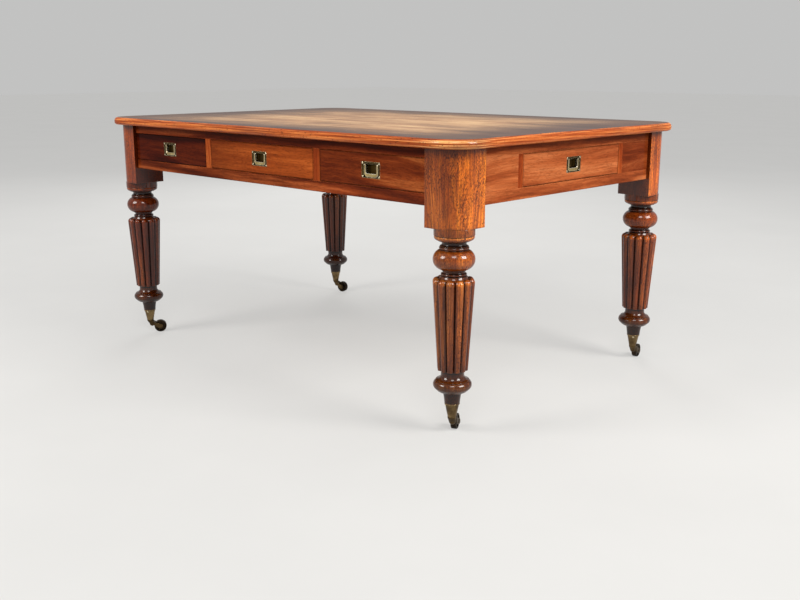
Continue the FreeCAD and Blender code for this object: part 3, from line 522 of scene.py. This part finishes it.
def outline_dirt_and_shade(s, axis, low, high):
    """Dirt and painted shade of the gap along the outline of a drawer front that spans this box."""
    inside = []
    for name in (axis, "Z"):
        start, stop = getattr(low, name.lower()), getattr(high, name.lower())
        away = s.math("ABSOLUTE", s.math("SUBTRACT", s.level(name), (start + stop) / 2))
        inside.append(s.math("SUBTRACT", (stop - start) / 2, away))
    edge = s.span(s.math("MINIMUM", *inside), *OUTLINE_EDGE, 0.0, OUTLINE_STRENGTH)
    outward = s.math("ABSOLUTE", s.facing("Y" if axis == "X" else "X"))
    return s.product(edge, s.math("GREATER_THAN", outward, OUTWARD_FACE))


def shaded_inner_faces(s, axis, height):
    """How far a leg's face above a height looks in under the table, where painted shade darkens it.
    """
    side_x, side_y = (math.copysign(1, part) for part in axis)
    inward = s.math("MAXIMUM", s.product(s.facing("X"), -side_x), s.product(s.facing("Y"), -side_y))
    above = s.math("GREATER_THAN", s.level("Z"), height)
    return s.product(s.span(inward, *INWARD), above, INNER_STRENGTH)


def reed_depth(s, axis):
    """How far a point of a leg's shaft is out towards the crests of its reeds."""
    away = s.vector("SUBTRACT", s.place(), (*axis, 0.0))
    flat = s.vector("MULTIPLY", away, (1.0, 1.0, 0.0))
    radius = s.node("VectorMath", {0: flat}, operation="LENGTH").outputs["Value"]
    crest = s.node("MapRange", {"Value": s.level("Z"),
                                "From Min": REEDS_FOOT, "From Max": REEDS_HEAD,
                                "To Min": CREST_AT_FOOT, "To Max": CREST_AT_HEAD})
    return s.math("DIVIDE", radius, crest.outputs["Result"])


def lit_and_shaded_reeds(s, colour, place, axis, deep):
    """A reeded shaft's colour: painted highlights on the crests and painted shade in the grooves."""
    depth = reed_depth(s, axis)
    on_shaft = s.product(s.math("GREATER_THAN", s.level("Z"), REEDS_FOOT),
                         s.math("LESS_THAN", s.level("Z"), REEDS_HEAD))
    patchy = s.span(s.grain(place, *CREST_HIGHLIGHT_PATCHES), *CREST_HIGHLIGHT_START)
    crest_highlight = s.product(s.span(depth, *REED_CREST), on_shaft, patchy, CREST_STRENGTH)
    colour = s.blend(crest_highlight, colour, CREST_HIGHLIGHT, "MULTIPLY")
    groove_shade = s.product(s.span(depth, *REED_GROOVE), on_shaft, GROOVE_STRENGTH)
    return s.blend(groove_shade, colour, scaled(deep, GROOVE_DARK))


def polished_wood(
        name,
        grain,                          # axis that the grain runs along
        wood,                           # deep, dark, middle and light tones
        seed,                           # part of the pattern
        wave=1.0,                       # how far the grain wanders
        rings=3.0,                      # growth rings in a wave of the noise
        figure=0.5,                     # how strongly they show
        flecks=0.4,                     # how dark the pores are
        pores=(70.0, 420.0),            # waves of the pores, as in the patterns
        lines=(18.0, 650.0),            # waves of the fine lines
        lines_shade=(0.78, 1.14),       # their darkest and lightest
        bands=None,                     # axis, start and stops of a change of colour
        outline=None,                   # axis and box of a drawer front whose outline is darkened with dirt and the painted shade of its gap
        shaded_inner_from=None,                # height above which a leg's inner faces get painted shade
        lit_end_face=None,                    # where along X the painted light on the end faces starts and is full
        reeded_axis=None,               # axis of a reeded leg
        arris_wear_and_light=0.5,                       # how far the arrises are rubbed and lit with painted highlights
        arris_width=0.0011,
        dirt_and_shade=0.8,                       # how dark the nooks' painted shade is
        reach=0.012,                    # how far out of a nook its painted shade comes
        nooks=(0.97, 0.38),             # openness where the painted shade starts and is full
        rough=0.30,
        coat=0.14,
        relief=0.16):
    """French-polished mahogany: rings and streaks along the grain, dark pores, arrises worn and lit
    with painted highlights, and painted shade in the nooks.
    """
    s = Shader(name)
    deep, light = wood[0], wood[-1]
    place = grain_coordinates(s, grain, seed)
    bent = wandering(s, place, wave)

    colour = s.ramp(figured(s, place, bent, rings, figure), list(zip(TONE_PLACES, wood)))
    if bands:
        axis, start, stops = bands
        level = s.math("SUBTRACT", s.level(axis), start)
        colour = s.blend(1.0, colour, s.ramp(level, stops), "MULTIPLY")
    # painted light: faces towards the table's right end are lightened
    if lit_end_face:
        colour = s.blend(s.span(s.level("X"), *lit_end_face), colour, END_FACE_LIGHT, "MULTIPLY")

    fine = s.grain(bent, *lines, *LINE_NOISE)
    colour = s.multiplied(colour, s.span(fine, *MOST_NOISE, *lines_shade))
    fleck = dark_pores(s, place, bent, pores, flecks)
    colour = s.blend(fleck, colour, scaled(deep, PORE_DARK))
    # painted highlights on the reeds' crests and painted shade in their grooves
    if reeded_axis:
        colour = lit_and_shaded_reeds(s, colour, place, reeded_axis, deep)
    if outline:
        # dirt and painted shade of the gap along the drawer front's outline
        colour = s.blend(outline_dirt_and_shade(s, *outline), colour, scaled(deep, OUTLINE_DARK))
    # painted shade on a leg's faces that look in under the table
    if shaded_inner_from:
        inner = shaded_inner_faces(s, reeded_axis, shaded_inner_from)
        colour = s.blend(inner, colour, scaled(deep, INNER_DARK))

    # arrises lightened: wear and painted highlights
    arris, normal = s.lit_worn_arris(arris_width)
    scuffs = s.span(s.grain(place, *SCUFFS), *SCUFF_START)
    colour = s.blend(s.product(arris, scuffs, arris_wear_and_light), colour, scaled(light, ARRIS_BRIGHT))
    # painted shade darkens the nooks; the same mask dulls the polish there
    nook_dirt_and_shade = s.product(s.nooks(reach, *nooks), dirt_and_shade)
    colour = s.blend(nook_dirt_and_shade, colour, scaled(deep, NOOK_DARK))

    smear = s.grain(place, *SMEAR)
    gloss = s.span(smear, *SMEAR_RANGE, rough - SMEAR_GLOSSIER, rough + SMEAR_DULLER)
    gloss = s.math("MULTIPLY_ADD", nook_dirt_and_shade, GRIME_DULLER, gloss)
    height = s.weighted((fine, LINE_HEIGHT), (fleck, PORE_HEIGHT), (smear, SMEAR_HEIGHT))
    bump = s.relief(relief, WOOD_RELIEF, height, normal)
    bsdf = s.node("BsdfPrincipled", {"Base Color": colour, "Roughness": gloss, "Normal": bump,
                                     "Coat Weight": coat, "Coat Roughness": COAT_ROUGH,
                                     "Coat Normal": normal, "Specular IOR Level": 0.0})
    return s.finish(bsdf)


def top_inset(s, place, low, high):
    """How far in a point of the top is, on a ragged line: a side's low rate gives a wide border."""
    margins = [s.product(s.math("SUBTRACT", s.level("X"), low.x), BORDER_RATES["left"]),
               s.product(s.math("SUBTRACT", high.x, s.level("X")), BORDER_RATES["right"]),
               s.product(s.math("SUBTRACT", s.level("Y"), low.y), BORDER_RATES["front"]),
               s.product(s.math("SUBTRACT", high.y, s.level("Y")), BORDER_RATES["rear"])]
    inset = margins[0]
    for margin in margins[1:]:
        inset = s.math("SMOOTH_MIN", inset, margin, BORDER_ROUND)
    ragged = s.math("SUBTRACT", s.grain(place, *TOP_BORDER), 0.5)
    return s.math("MULTIPLY_ADD", ragged, BORDER_RAGGED, inset)


def moulded_edge(s, high):
    """The top's orange edge, lighter at the corners: rubbing wear, with a painted highlight strongest
    at the front right corner.
    """
    layers = s.noise(s.stretched(s.place(), EDGE_WAVES), *EDGE_NOISE)
    colour = s.toned(s.span(layers, *EDGE_CONTRAST), TOP_EDGE)
    ends = s.math("SUBTRACT", s.math("ABSOLUTE", s.level("X")), high.x - LIT_CORNER_SIDE)
    sides = s.math("SUBTRACT", s.math("ABSOLUTE", s.level("Y")), high.y - LIT_CORNER_SIDE)
    corner = s.span(s.math("MINIMUM", ends, sides), *LIT_CORNER_EDGE)
    front_right = s.math("SUBTRACT", s.level("X"), s.level("Y"))
    corner_wear_and_highlight = s.product(corner, s.span(front_right, *LIT_CORNER_SPREAD),
                        s.span(layers, *LIT_CORNER_LAYERS))
    return s.blend(corner_wear_and_highlight, colour, TOP_CORNER_WEAR_AND_HIGHLIGHT)


def desk_top_wood():
    """The top: boards faded to honey inside a darker border, and an orange moulded edge."""
    s = Shader("top_mahogany")
    place = grain_coordinates(s, "X", TOP_SEED)
    low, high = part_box("desk_top")
    drift = s.math("MULTIPLY", s.grain(place, *TOP_DRIFT), TOP_WANDER)
    shift = s.node("CombineXYZ", {0: 0.0, 1: drift, 2: 0.0}).outputs["Vector"]
    bent = s.vector("ADD", place, shift)

    tone = s.weighted((s.grain(bent, *TOP_BROAD), 0.35), (s.grain(bent, *TOP_STREAKS), 0.35),
                      (s.grain(place, *TOP_CLOUD), 0.30))
    tone = s.span(tone, *TOP_CONTRAST)
    inset = s.span(top_inset(s, place, low, high), *BORDER_END)
    colour = s.blend(inset, s.toned(tone, BORDER), s.toned(tone, HONEY))
    colour = s.blend(s.span(s.facing("Z"), *TOP_UPWARD), colour, moulded_edge(s, high))

    fine = s.grain(bent, *TOP_LINES)
    colour = s.multiplied(colour, s.span(fine, *MOST_NOISE, *TOP_LINES_SHADE))
    pores = s.span(s.grain(bent, *TOP_PORES), *TOP_PORE_START, 0.0, TOP_PORE_STRENGTH)
    dents = s.span(s.grain(place, *TOP_DENTS), *TOP_DENT_START, 0.0, TOP_DENT_STRENGTH)
    fleck = s.mix("FLOAT", s.span(s.facing("Z"), *DENTS_UPWARD), pores, dents)
    colour = s.blend(fleck, colour, TOP_FLECK)
    stains = s.span(s.grain(place, *TOP_STAINS), *TOP_STAIN_START)
    colour = s.blend(s.product(stains, TOP_STAIN_STRENGTH), colour, TOP_STAIN)
    # the top's arrises lightened: wear and painted highlights
    arris, normal = s.lit_worn_arris(TOP_ARRIS_WIDTH)
    colour = s.blend(s.product(arris, TOP_ARRIS_WEAR_AND_LIGHT), colour, TOP_ARRIS)

    smear = s.grain(place, *TOP_SMEAR)
    bump = s.relief(TOP_BUMP, WOOD_RELIEF, s.weighted((fine, 0.3), (smear, 0.5)), normal)
    bsdf = s.node("BsdfPrincipled", {"Base Color": colour, "Normal": bump,
                                     "Roughness": s.span(smear, *MOST_NOISE, *TOP_ROUGH),
                                     "Coat Weight": 0.4, "Coat Roughness": 0.14,
                                     "Coat Normal": bump, "Specular IOR Level": 0.0})
    return s.finish(bsdf)


def plain_wood(name, grain, seed, wood, back=None):
    """Unpolished secondary wood inside the frame and the drawers, dusty and worn by handling, with
    painted shade in its nooks.

    Of a drawer box, the board behind a limit along its outward axis has its grain across the rest."""
    s = Shader(name)
    place = grain_coordinates(s, grain, seed)
    if back:
        axis, outward, limit = back
        behind = s.math("LESS_THAN", s.math("MULTIPLY", s.level(axis), outward), limit)
        across = grain_coordinates(s, "Y" if axis == "X" else "X", seed)
        place = s.mix("VECTOR", behind, place, across)
    streaks = s.grain(place, *PLAIN_STREAKS, distortion=0.6)
    fine = s.grain(place, *PLAIN_LINES)
    stains = s.grain(place, *PLAIN_STAINS)
    tone = s.weighted((streaks, 0.7), (stains, 0.3))
    colour = s.toned(s.span(tone, *PLAIN_CONTRAST), wood)
    colour = s.multiplied(colour, s.span(fine, *MOST_NOISE, *PLAIN_LINES_SHADE))
    # dust and painted shade in the nooks
    nook_dirt_and_shade = s.product(s.nooks(*PLAIN_NOOKS), DUST_AND_SHADE_STRENGTH)
    colour = s.blend(nook_dirt_and_shade, colour, scaled(wood[0], DUST_AND_SHADE_DARK))
    bump = s.relief(PLAIN_BUMP, WOOD_RELIEF, s.math("ADD", fine, streaks))
    bsdf = s.node("BsdfPrincipled", {"Base Color": colour, "Normal": bump,
                                     "Roughness": s.span(stains, *MOST_NOISE, *PLAIN_ROUGH)})
    return s.finish(bsdf)


# ---- brass ----
def aged_brass(
        name,
        clean,                          # colours of the clean, tarnished and rubbed metal, the last also a painted highlight on the arrises
        tarnish,
        bright,
        amount,                         # how much of it is tarnished
        rough,
        reach=0.004,                    # how far out of a nook its tarnish and painted shade come
        mottle=40.0,                    # waves a metre of the tarnish
        arris_width=0.0005,
        nooks=(0.92, 0.45),             # openness where the tarnish and painted shade start and are full
        turned=ARRIS_TURN):             # how far an arris turns where it is rubbed and carries a painted highlight
    """Brass with bright rubbed arrises that also carry painted highlights, brown tarnish, and nooks
    darkened by tarnish and painted shade.
    """
    s = Shader(name)
    place = s.place()
    blotch = s.grain(place, mottle, mottle, *BLOTCH_NOISE)
    speck = s.grain(place, *SPECKS)
    scratch = s.noise(s.stretched(place, SCRATCH_WAVES), *SCRATCH_NOISE)
    arris, normal = s.lit_worn_arris(arris_width, turned)
    dull = s.span(blotch, *TARNISH_START, 0.0, amount)
    colour = s.blend(dull, clean, tarnish)
    specks = s.product(s.span(speck, *SPECK_START), SPECK_STRENGTH)
    colour = s.blend(specks, colour, scaled(tarnish, SPECK_DARK))
    colour = s.blend(arris, colour, bright)
    # tarnish and painted shade in the nooks
    nook_tarnish_and_shade = s.nooks(reach, *nooks)
    colour = s.blend(nook_tarnish_and_shade, colour, scaled(tarnish, BRASS_NOOK_DARK))
    gloss = s.span(scratch, *MOST_NOISE, rough - SCRATCH_GLOSSIER, rough + SCRATCH_DULLER)
    gloss = s.weighted((gloss, 1.0), (dull, TARNISH_DULLER), (nook_tarnish_and_shade, TARNISH_DULLER))
    bump = s.relief(BRASS_BUMP, BRASS_RELIEF, s.math("ADD", speck, blotch), normal)
    bsdf = s.node("BsdfPrincipled", {"Base Color": colour, "Roughness": gloss, "Normal": bump,
                                     "Metallic": 1.0})
    return s.finish(bsdf)


# ---- what each piece is made of ----
def paint(names, material):
    """Gives CAD nodes a material in place of their own."""
    for name in names:
        mesh = nodes[name].data
        mesh.materials.clear()
        mesh.materials.append(material)


def paint_legs():
    """The four legs: one look, four tints that partly hold painted shade, and painted light on the
    end faces of the two right ones.
    """
    for seed, (corner, tint) in enumerate(LEG_TINTS_AND_SHADES.items(), start=1):
        material = polished_wood(
            f"leg_wood_{corner}", "Z", tinted(BLOCK, tint), seed, figure=0.3, flecks=0.90,
            pores=(170.0, 640.0), lines=(14.0, 300.0), lines_shade=(0.52, 1.28),
            bands=LEG_BANDS, shaded_inner_from=BLOCK_FOOT, reeded_axis=LEG_AXES[corner],
            lit_end_face=LIT_END_FACE if corner.endswith("right") else None,
            arris_wear_and_light=0.45, dirt_and_shade=0.92, reach=0.026, nooks=(0.99, 0.46), rough=0.24, coat=0.85,
            relief=0.32)
        paint([f"leg_{corner}"], material)


def paint_frame():
    """Rails, uprights and end panels."""
    rails = {"front_upper": ("X", UPPER_RED, UPPER_RAIL_SHADE),
             "rear_upper": ("X", UPPER_RED, UPPER_RAIL_SHADE),
             "front_lower": ("X", RAIL_RED, LOWER_RAIL_LIGHT),
             "rear_lower": ("X", RAIL_RED, None),
             "left_upper": ("Y", END_WOOD, UPPER_RAIL_SHADE),
             "right_upper": ("Y", END_WOOD, UPPER_RAIL_SHADE),
             "left_lower": ("Y", END_WOOD, None),
             "right_lower": ("Y", END_WOOD, None)}
    for seed, (name, (grain, wood, bands)) in enumerate(rails.items(), start=5):
        paint([f"{name}_rail"],
              polished_wood(f"{name}_rail_wood", grain, wood, seed, wave=0.6, rings=4.0, figure=0.9,
                            flecks=0.3, arris_wear_and_light=0.9, arris_width=0.0018, bands=bands))
    paint(["frame_uprights"],
          polished_wood("upright_wood", "Z", UPRIGHT, 13, flecks=0.3, arris_wear_and_light=0.9, arris_width=0.0016))
    paint(["end_panels"],
          polished_wood("panel_wood", "Y", END_WOOD, 14, figure=0.6, flecks=0.3, bands=PANEL_BANDS))


def paint_drawers():
    """Drawer fronts of polished wood, on boxes of plain wood."""
    for seed, name in enumerate(LONG_DRAWERS, start=15):
        front = f"{name}_drawer_front"
        if name.endswith("middle"):
            cut = {"wood": ORANGE, "wave": 0.3, "figure": 0.3, "bands": DRAWER_BANDS}
        else:
            wood = STREAKED if name in ("front_right", "rear_left") else DARK_RED
            cut = {"wood": wood, "wave": 1.3, "figure": 0.9}
        paint([front], polished_wood(f"drawer_wood_{name}", "X", seed=seed, flecks=0.35,
                                     outline=("X", *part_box(front)), **cut))
    for seed, name in enumerate(END_DRAWERS, start=22):
        front = f"{name}_drawer_front"
        paint([front], polished_wood(f"drawer_wood_{name}", "Y", END_WOOD, seed, wave=0.5,
                                     flecks=0.3, outline=("Y", *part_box(front))))
    for index, name in enumerate(DRAWERS):
        front = OUTWARD[name][0]
        axis = "X" if front.x else "Y"
        low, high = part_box(f"{name}_drawer_box")
        limit = min(low.dot(front), high.dot(front)) + BACK_BOARD
        paint([f"{name}_drawer_box"],
              plain_wood(f"lining_{name}", axis, index * LINING_SEED, LINING,
                         back=(axis, front.x or front.y, limit)))


def paint_wood():
    """The table's timber, piece by piece."""
    paint(["desk_top"], desk_top_wood())
    paint_legs()
    paint_frame()
    paint_drawers()
    inner = plain_wood("inner_wood", "Y", 3.0, CARCASS)
    paint(["cross_dividers", "drawer_dividers", "drawer_runners", "drawer_kickers"], inner)


def paint_brass():
    """The table's brass, piece by piece."""
    # the plate's wide reach paints shade into the bowl of its handle
    plate = aged_brass("plate_brass", linear(86, 66, 30), linear(54, 40, 15),
                       linear(255, 240, 196), 0.8, 0.30, reach=0.030, arris_width=0.0008,
                       nooks=(0.86, 0.40))
    bail = aged_brass("bail_brass", linear(198, 176, 120), linear(142, 120, 72),
                      linear(255, 250, 235), 0.7, 0.22, reach=0.002, arris_width=0.0014,
                      turned=(0.9995, 0.965))
    cup = aged_brass("cup_brass", linear(132, 110, 76), linear(78, 62, 43),
                     linear(206, 184, 136), 0.9, 0.26, reach=0.010, mottle=34.0)
    horn = aged_brass("horn_brass", linear(94, 76, 50), linear(56, 43, 29),
                      linear(160, 132, 90), 0.9, 0.36)
    wheel = aged_brass("wheel_brass", linear(64, 52, 38), linear(30, 24, 20),
                       linear(110, 90, 62), 1.0, 0.42)
    for name in DRAWERS:
        paint([f"{name}_handle_plate"], plate)
        paint([f"{name}_handle_bail"], bail)
    paint(["castor_cups"], cup)
    for corner in CORNERS:
        paint([f"castor_horn_{corner}"], horn)
        paint([f"castor_wheel_{corner}"], wheel)


# ---- screws ----
HEAD_STEPS = 16             # round each half of a head
HEAD_ROWS = 4               # from its slot to its rim
HEAD_FALL = 0.75            # share of its rise that a dome falls to its rim
HEAD_SUNK = -0.0003
SLOT_FLOOR = 0.0001
SEAT_STEPS = 24
SEAT_RISE = 0.00005
SEAT_RADII = (0.95, 1.18)   # of the head's radius
SAME_PLACE = 1e-6           # corners nearer than this are one
NO_LENGTH = 1e-7
TURN_BY_DRAWER = 0.9        # how much further the slots are turned from drawer to drawer
TURN_ACROSS = 1.7           # and on a plate, from its middle across and up
TURN_UP = 0.6
CUP_TURN = 0.7
PLATE_SCREW = (0.0024, 0.0006, 0.0007)      # radius, rise and width of slot
PLATE_SCREW_ACROSS = 0.0303                 # from the middle of the plate
PLATE_SCREW_UP = 0.0173
CUP_SCREW = (0.0026, 0.0014, 0.0007)
CUP_SCREW_OUT = 0.0177                      # from the leg's axis
CUP_SCREW_HEIGHT = 0.077
CUP_SLOPE = -0.2                            # how far a cup's side faces down


def screw_head(shape, place, radius, rise, slot):
    """Adds a slotted, domed head to a mesh, with its dark seat, where a matrix puts it: the seat and
    the slot's floor are dirt and painted shade.
    """
    half = slot / 2
    start = math.asin(half / radius)

    def patch(grid, index):
        made = [[shape.verts.new(place @ Vector(point)) for point in line] for line in grid]
        for near, far in zip(made, made[1:]):
            for corners in zip(near, near[1:], far[1:], far):
                shape.faces.new(corners).material_index = index

    for side in (1, -1):
        grid = []
        for step in range(HEAD_STEPS + 1):
            angle = start + (math.pi - 2 * start) * step / HEAD_STEPS
            x = side * radius * math.cos(angle)
            reach = radius * math.sin(angle) - half
            line = [(x, side * half, SLOT_FLOOR)]
            for row in range(HEAD_ROWS + 1):
                y = half + reach * row / HEAD_ROWS
                dome = rise * (1 - HEAD_FALL * (x * x + y * y) / radius ** 2)
                line.append((x, side * y, dome))
            line.append((x, side * (half + reach), HEAD_SUNK))
            grid.append(line)
        patch(grid, 0)
    length = radius * math.cos(start)
    patch([[(-length, -half, SLOT_FLOOR), (length, -half, SLOT_FLOOR)],
           [(-length, half, SLOT_FLOOR), (length, half, SLOT_FLOOR)]], 1)
    seat = []
    for step in range(SEAT_STEPS + 1):
        turn = 2 * math.pi * step / SEAT_STEPS
        seat.append([(radius * share * math.cos(turn), radius * share * math.sin(turn), SEAT_RISE)
                     for share in SEAT_RADII])
    patch(seat, 1)


def screws(name, body, places, sizes, materials):
    """One piece with a screw head at each place."""
    shape = bmesh.new()
    for place in places:
        screw_head(shape, place, *sizes)
    bmesh.ops.remove_doubles(shape, verts=shape.verts, dist=SAME_PLACE)
    bmesh.ops.dissolve_degenerate(shape, edges=shape.edges, dist=NO_LENGTH)
    bmesh.ops.recalc_face_normals(shape, faces=shape.faces)
    mesh = bpy.data.meshes.new(name)
    shape.to_mesh(mesh)
    shape.free()
    for material in materials:
        mesh.materials.append(material)
    piece = bpy.data.objects.new(name, mesh)
    bpy.context.scene.collection.objects.link(piece)
    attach(piece, body)


def head_place(spot, normal, turned):
    """The matrix of a head at a spot, facing along a normal, with its slot turned by an angle."""
    facing = normal.to_track_quat("Z", "Y").to_matrix().to_4x4()
    return Matrix.Translation(spot) @ facing @ Matrix.Rotation(turned, 4, "Z")


def all_screws():
    """Four screws in every handle plate and two in every castor cup."""
    head = aged_brass("screw_brass", linear(250, 234, 196), linear(206, 184, 138),
                      linear(255, 246, 222), 0.5, 0.24, reach=0.002, mottle=300.0)
    # dirt and painted shade for the seats and the slots' floors
    dirt_and_shade = aged_brass("screw_dirt_and_shade", linear(40, 32, 22), linear(22, 17, 12),
                      linear(70, 56, 38), 0.8, 0.60, mottle=300.0)
    for index, name in enumerate(DRAWERS):
        low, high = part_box(f"{name}_handle_plate")
        front, long_side = OUTWARD[name]
        thickness = (high - low).dot(Vector([abs(part) for part in front]))
        middle = (low + high) / 2 + front * (thickness / 2)
        places = []
        for across in (-1, 1):
            for up in (-1, 1):
                spot = middle + long_side * (PLATE_SCREW_ACROSS * across)
                spot = spot + Vector((0, 0, PLATE_SCREW_UP * up))
                turned = TURN_BY_DRAWER * index + TURN_ACROSS * across + TURN_UP * up
                places.append(head_place(spot, front, turned))
        screws(f"handle_screws_{name}", f"{name}_drawer", places, PLATE_SCREW, (head, dirt_and_shade))
    for corner in CORNERS:
        x, y = LEG_AXES[corner]
        places = []
        for side in (0, 1):
            angle = math.atan2(y, x) + math.pi / 2 + math.pi * side
            normal = Vector((math.cos(angle), math.sin(angle), CUP_SLOPE)).normalized()
            spot = Vector((x + CUP_SCREW_OUT * math.cos(angle), y + CUP_SCREW_OUT * math.sin(angle),
                           CUP_SCREW_HEIGHT))
            places.append(head_place(spot, normal, CUP_TURN + side))
        screws(f"cup_screws_{corner}", "frame", places, CUP_SCREW, (head, dirt_and_shade))


# ---- floor, lamps and camera ----
def seen(s):
    """One for rays that show the surroundings, nought for those that light the table."""
    path = s.node("LightPath").outputs
    mirrored = s.math("MAXIMUM", path["Is Glossy Ray"], path["Is Transmission Ray"])
    return s.math("MAXIMUM", path["Is Camera Ray"], mirrored)


def floor():
    """A pale plain floor."""
    mesh = bpy.data.meshes.new("floor")
    corners = [(-FLOOR_REACH, -FLOOR_REACH, 0), (FLOOR_REACH, -FLOOR_REACH, 0),
               (FLOOR_REACH, FLOOR_REACH, 0), (-FLOOR_REACH, FLOOR_REACH, 0)]
    mesh.from_pydata(corners, [], [(0, 1, 2, 3)])
    ground = bpy.data.objects.new("floor", mesh)
    bpy.context.scene.collection.objects.link(ground)
    s = Shader("floor_finish")
    cloud = s.grain(s.place(), *FLOOR_CLOUD)
    shade = s.multiplied(FLOOR_COLOUR, s.span(cloud, *MOST_NOISE, *FLOOR_SHADE))
    matt = s.node("BsdfPrincipled", {"Base Color": shade, "Roughness": 0.8,
                                     "Specular IOR Level": 0.2})
    pale = s.node("Emission", {"Color": (*PALE, 1.0), "Strength": 1.0})
    lift = s.math("MULTIPLY", seen(s), FLOOR_LIFT)
    mixed = s.node("MixShader", {0: lift, 1: matt.outputs[0], 2: pale.outputs[0]})
    mesh.materials.append(s.finish(mixed))


def lamp(name, place, side, watts, colour, mirrored):
    """A square soft lamp aimed at the table."""
    data = bpy.data.lights.new(name, "AREA")
    data.size = side
    data.energy = watts
    data.color = colour
    made = bpy.data.objects.new(name, data)
    made.location = place
    made.visible_glossy = mirrored
    made.rotation_euler = (Vector(LAMP_AIM) - Vector(place)).to_track_quat("-Z", "Y").to_euler()
    bpy.context.scene.collection.objects.link(made)


def surroundings():
    """World, lamps and view settings."""
    world = bpy.data.worlds.new("studio")
    bpy.context.scene.world = world
    s = Shader("studio", world)
    light = s.node("Background", {"Color": (*WORLD_COLOUR, 1.0), "Strength": WORLD_STRENGTH})
    view = s.node("Background", {"Color": (*BACKGROUND, 1.0), "Strength": 1.0})
    s.finish(s.node("MixShader", {0: seen(s), 1: light.outputs[0], 2: view.outputs[0]}))
    for settings in LAMPS:
        lamp(*settings)
    bpy.context.scene.view_settings.view_transform = "Standard"


def camera():
    """The camera at the photograph's place."""
    data = bpy.data.cameras.new("camera")
    data.sensor_width = CAMERA_SENSOR
    data.lens = CAMERA_LENS
    data.clip_start = CAMERA_NEAR
    data.clip_end = CAMERA_FAR
    made = bpy.data.objects.new("camera", data)
    made.location = CAMERA_PLACE
    made.rotation_euler = Euler((math.pi / 2 - CAMERA_DOWN, 0.0, CAMERA_TURN))
    bpy.context.scene.collection.objects.link(made)
    bpy.context.scene.camera = made


paint_wood()
paint_brass()
all_screws()
floor()
surroundings()
camera()
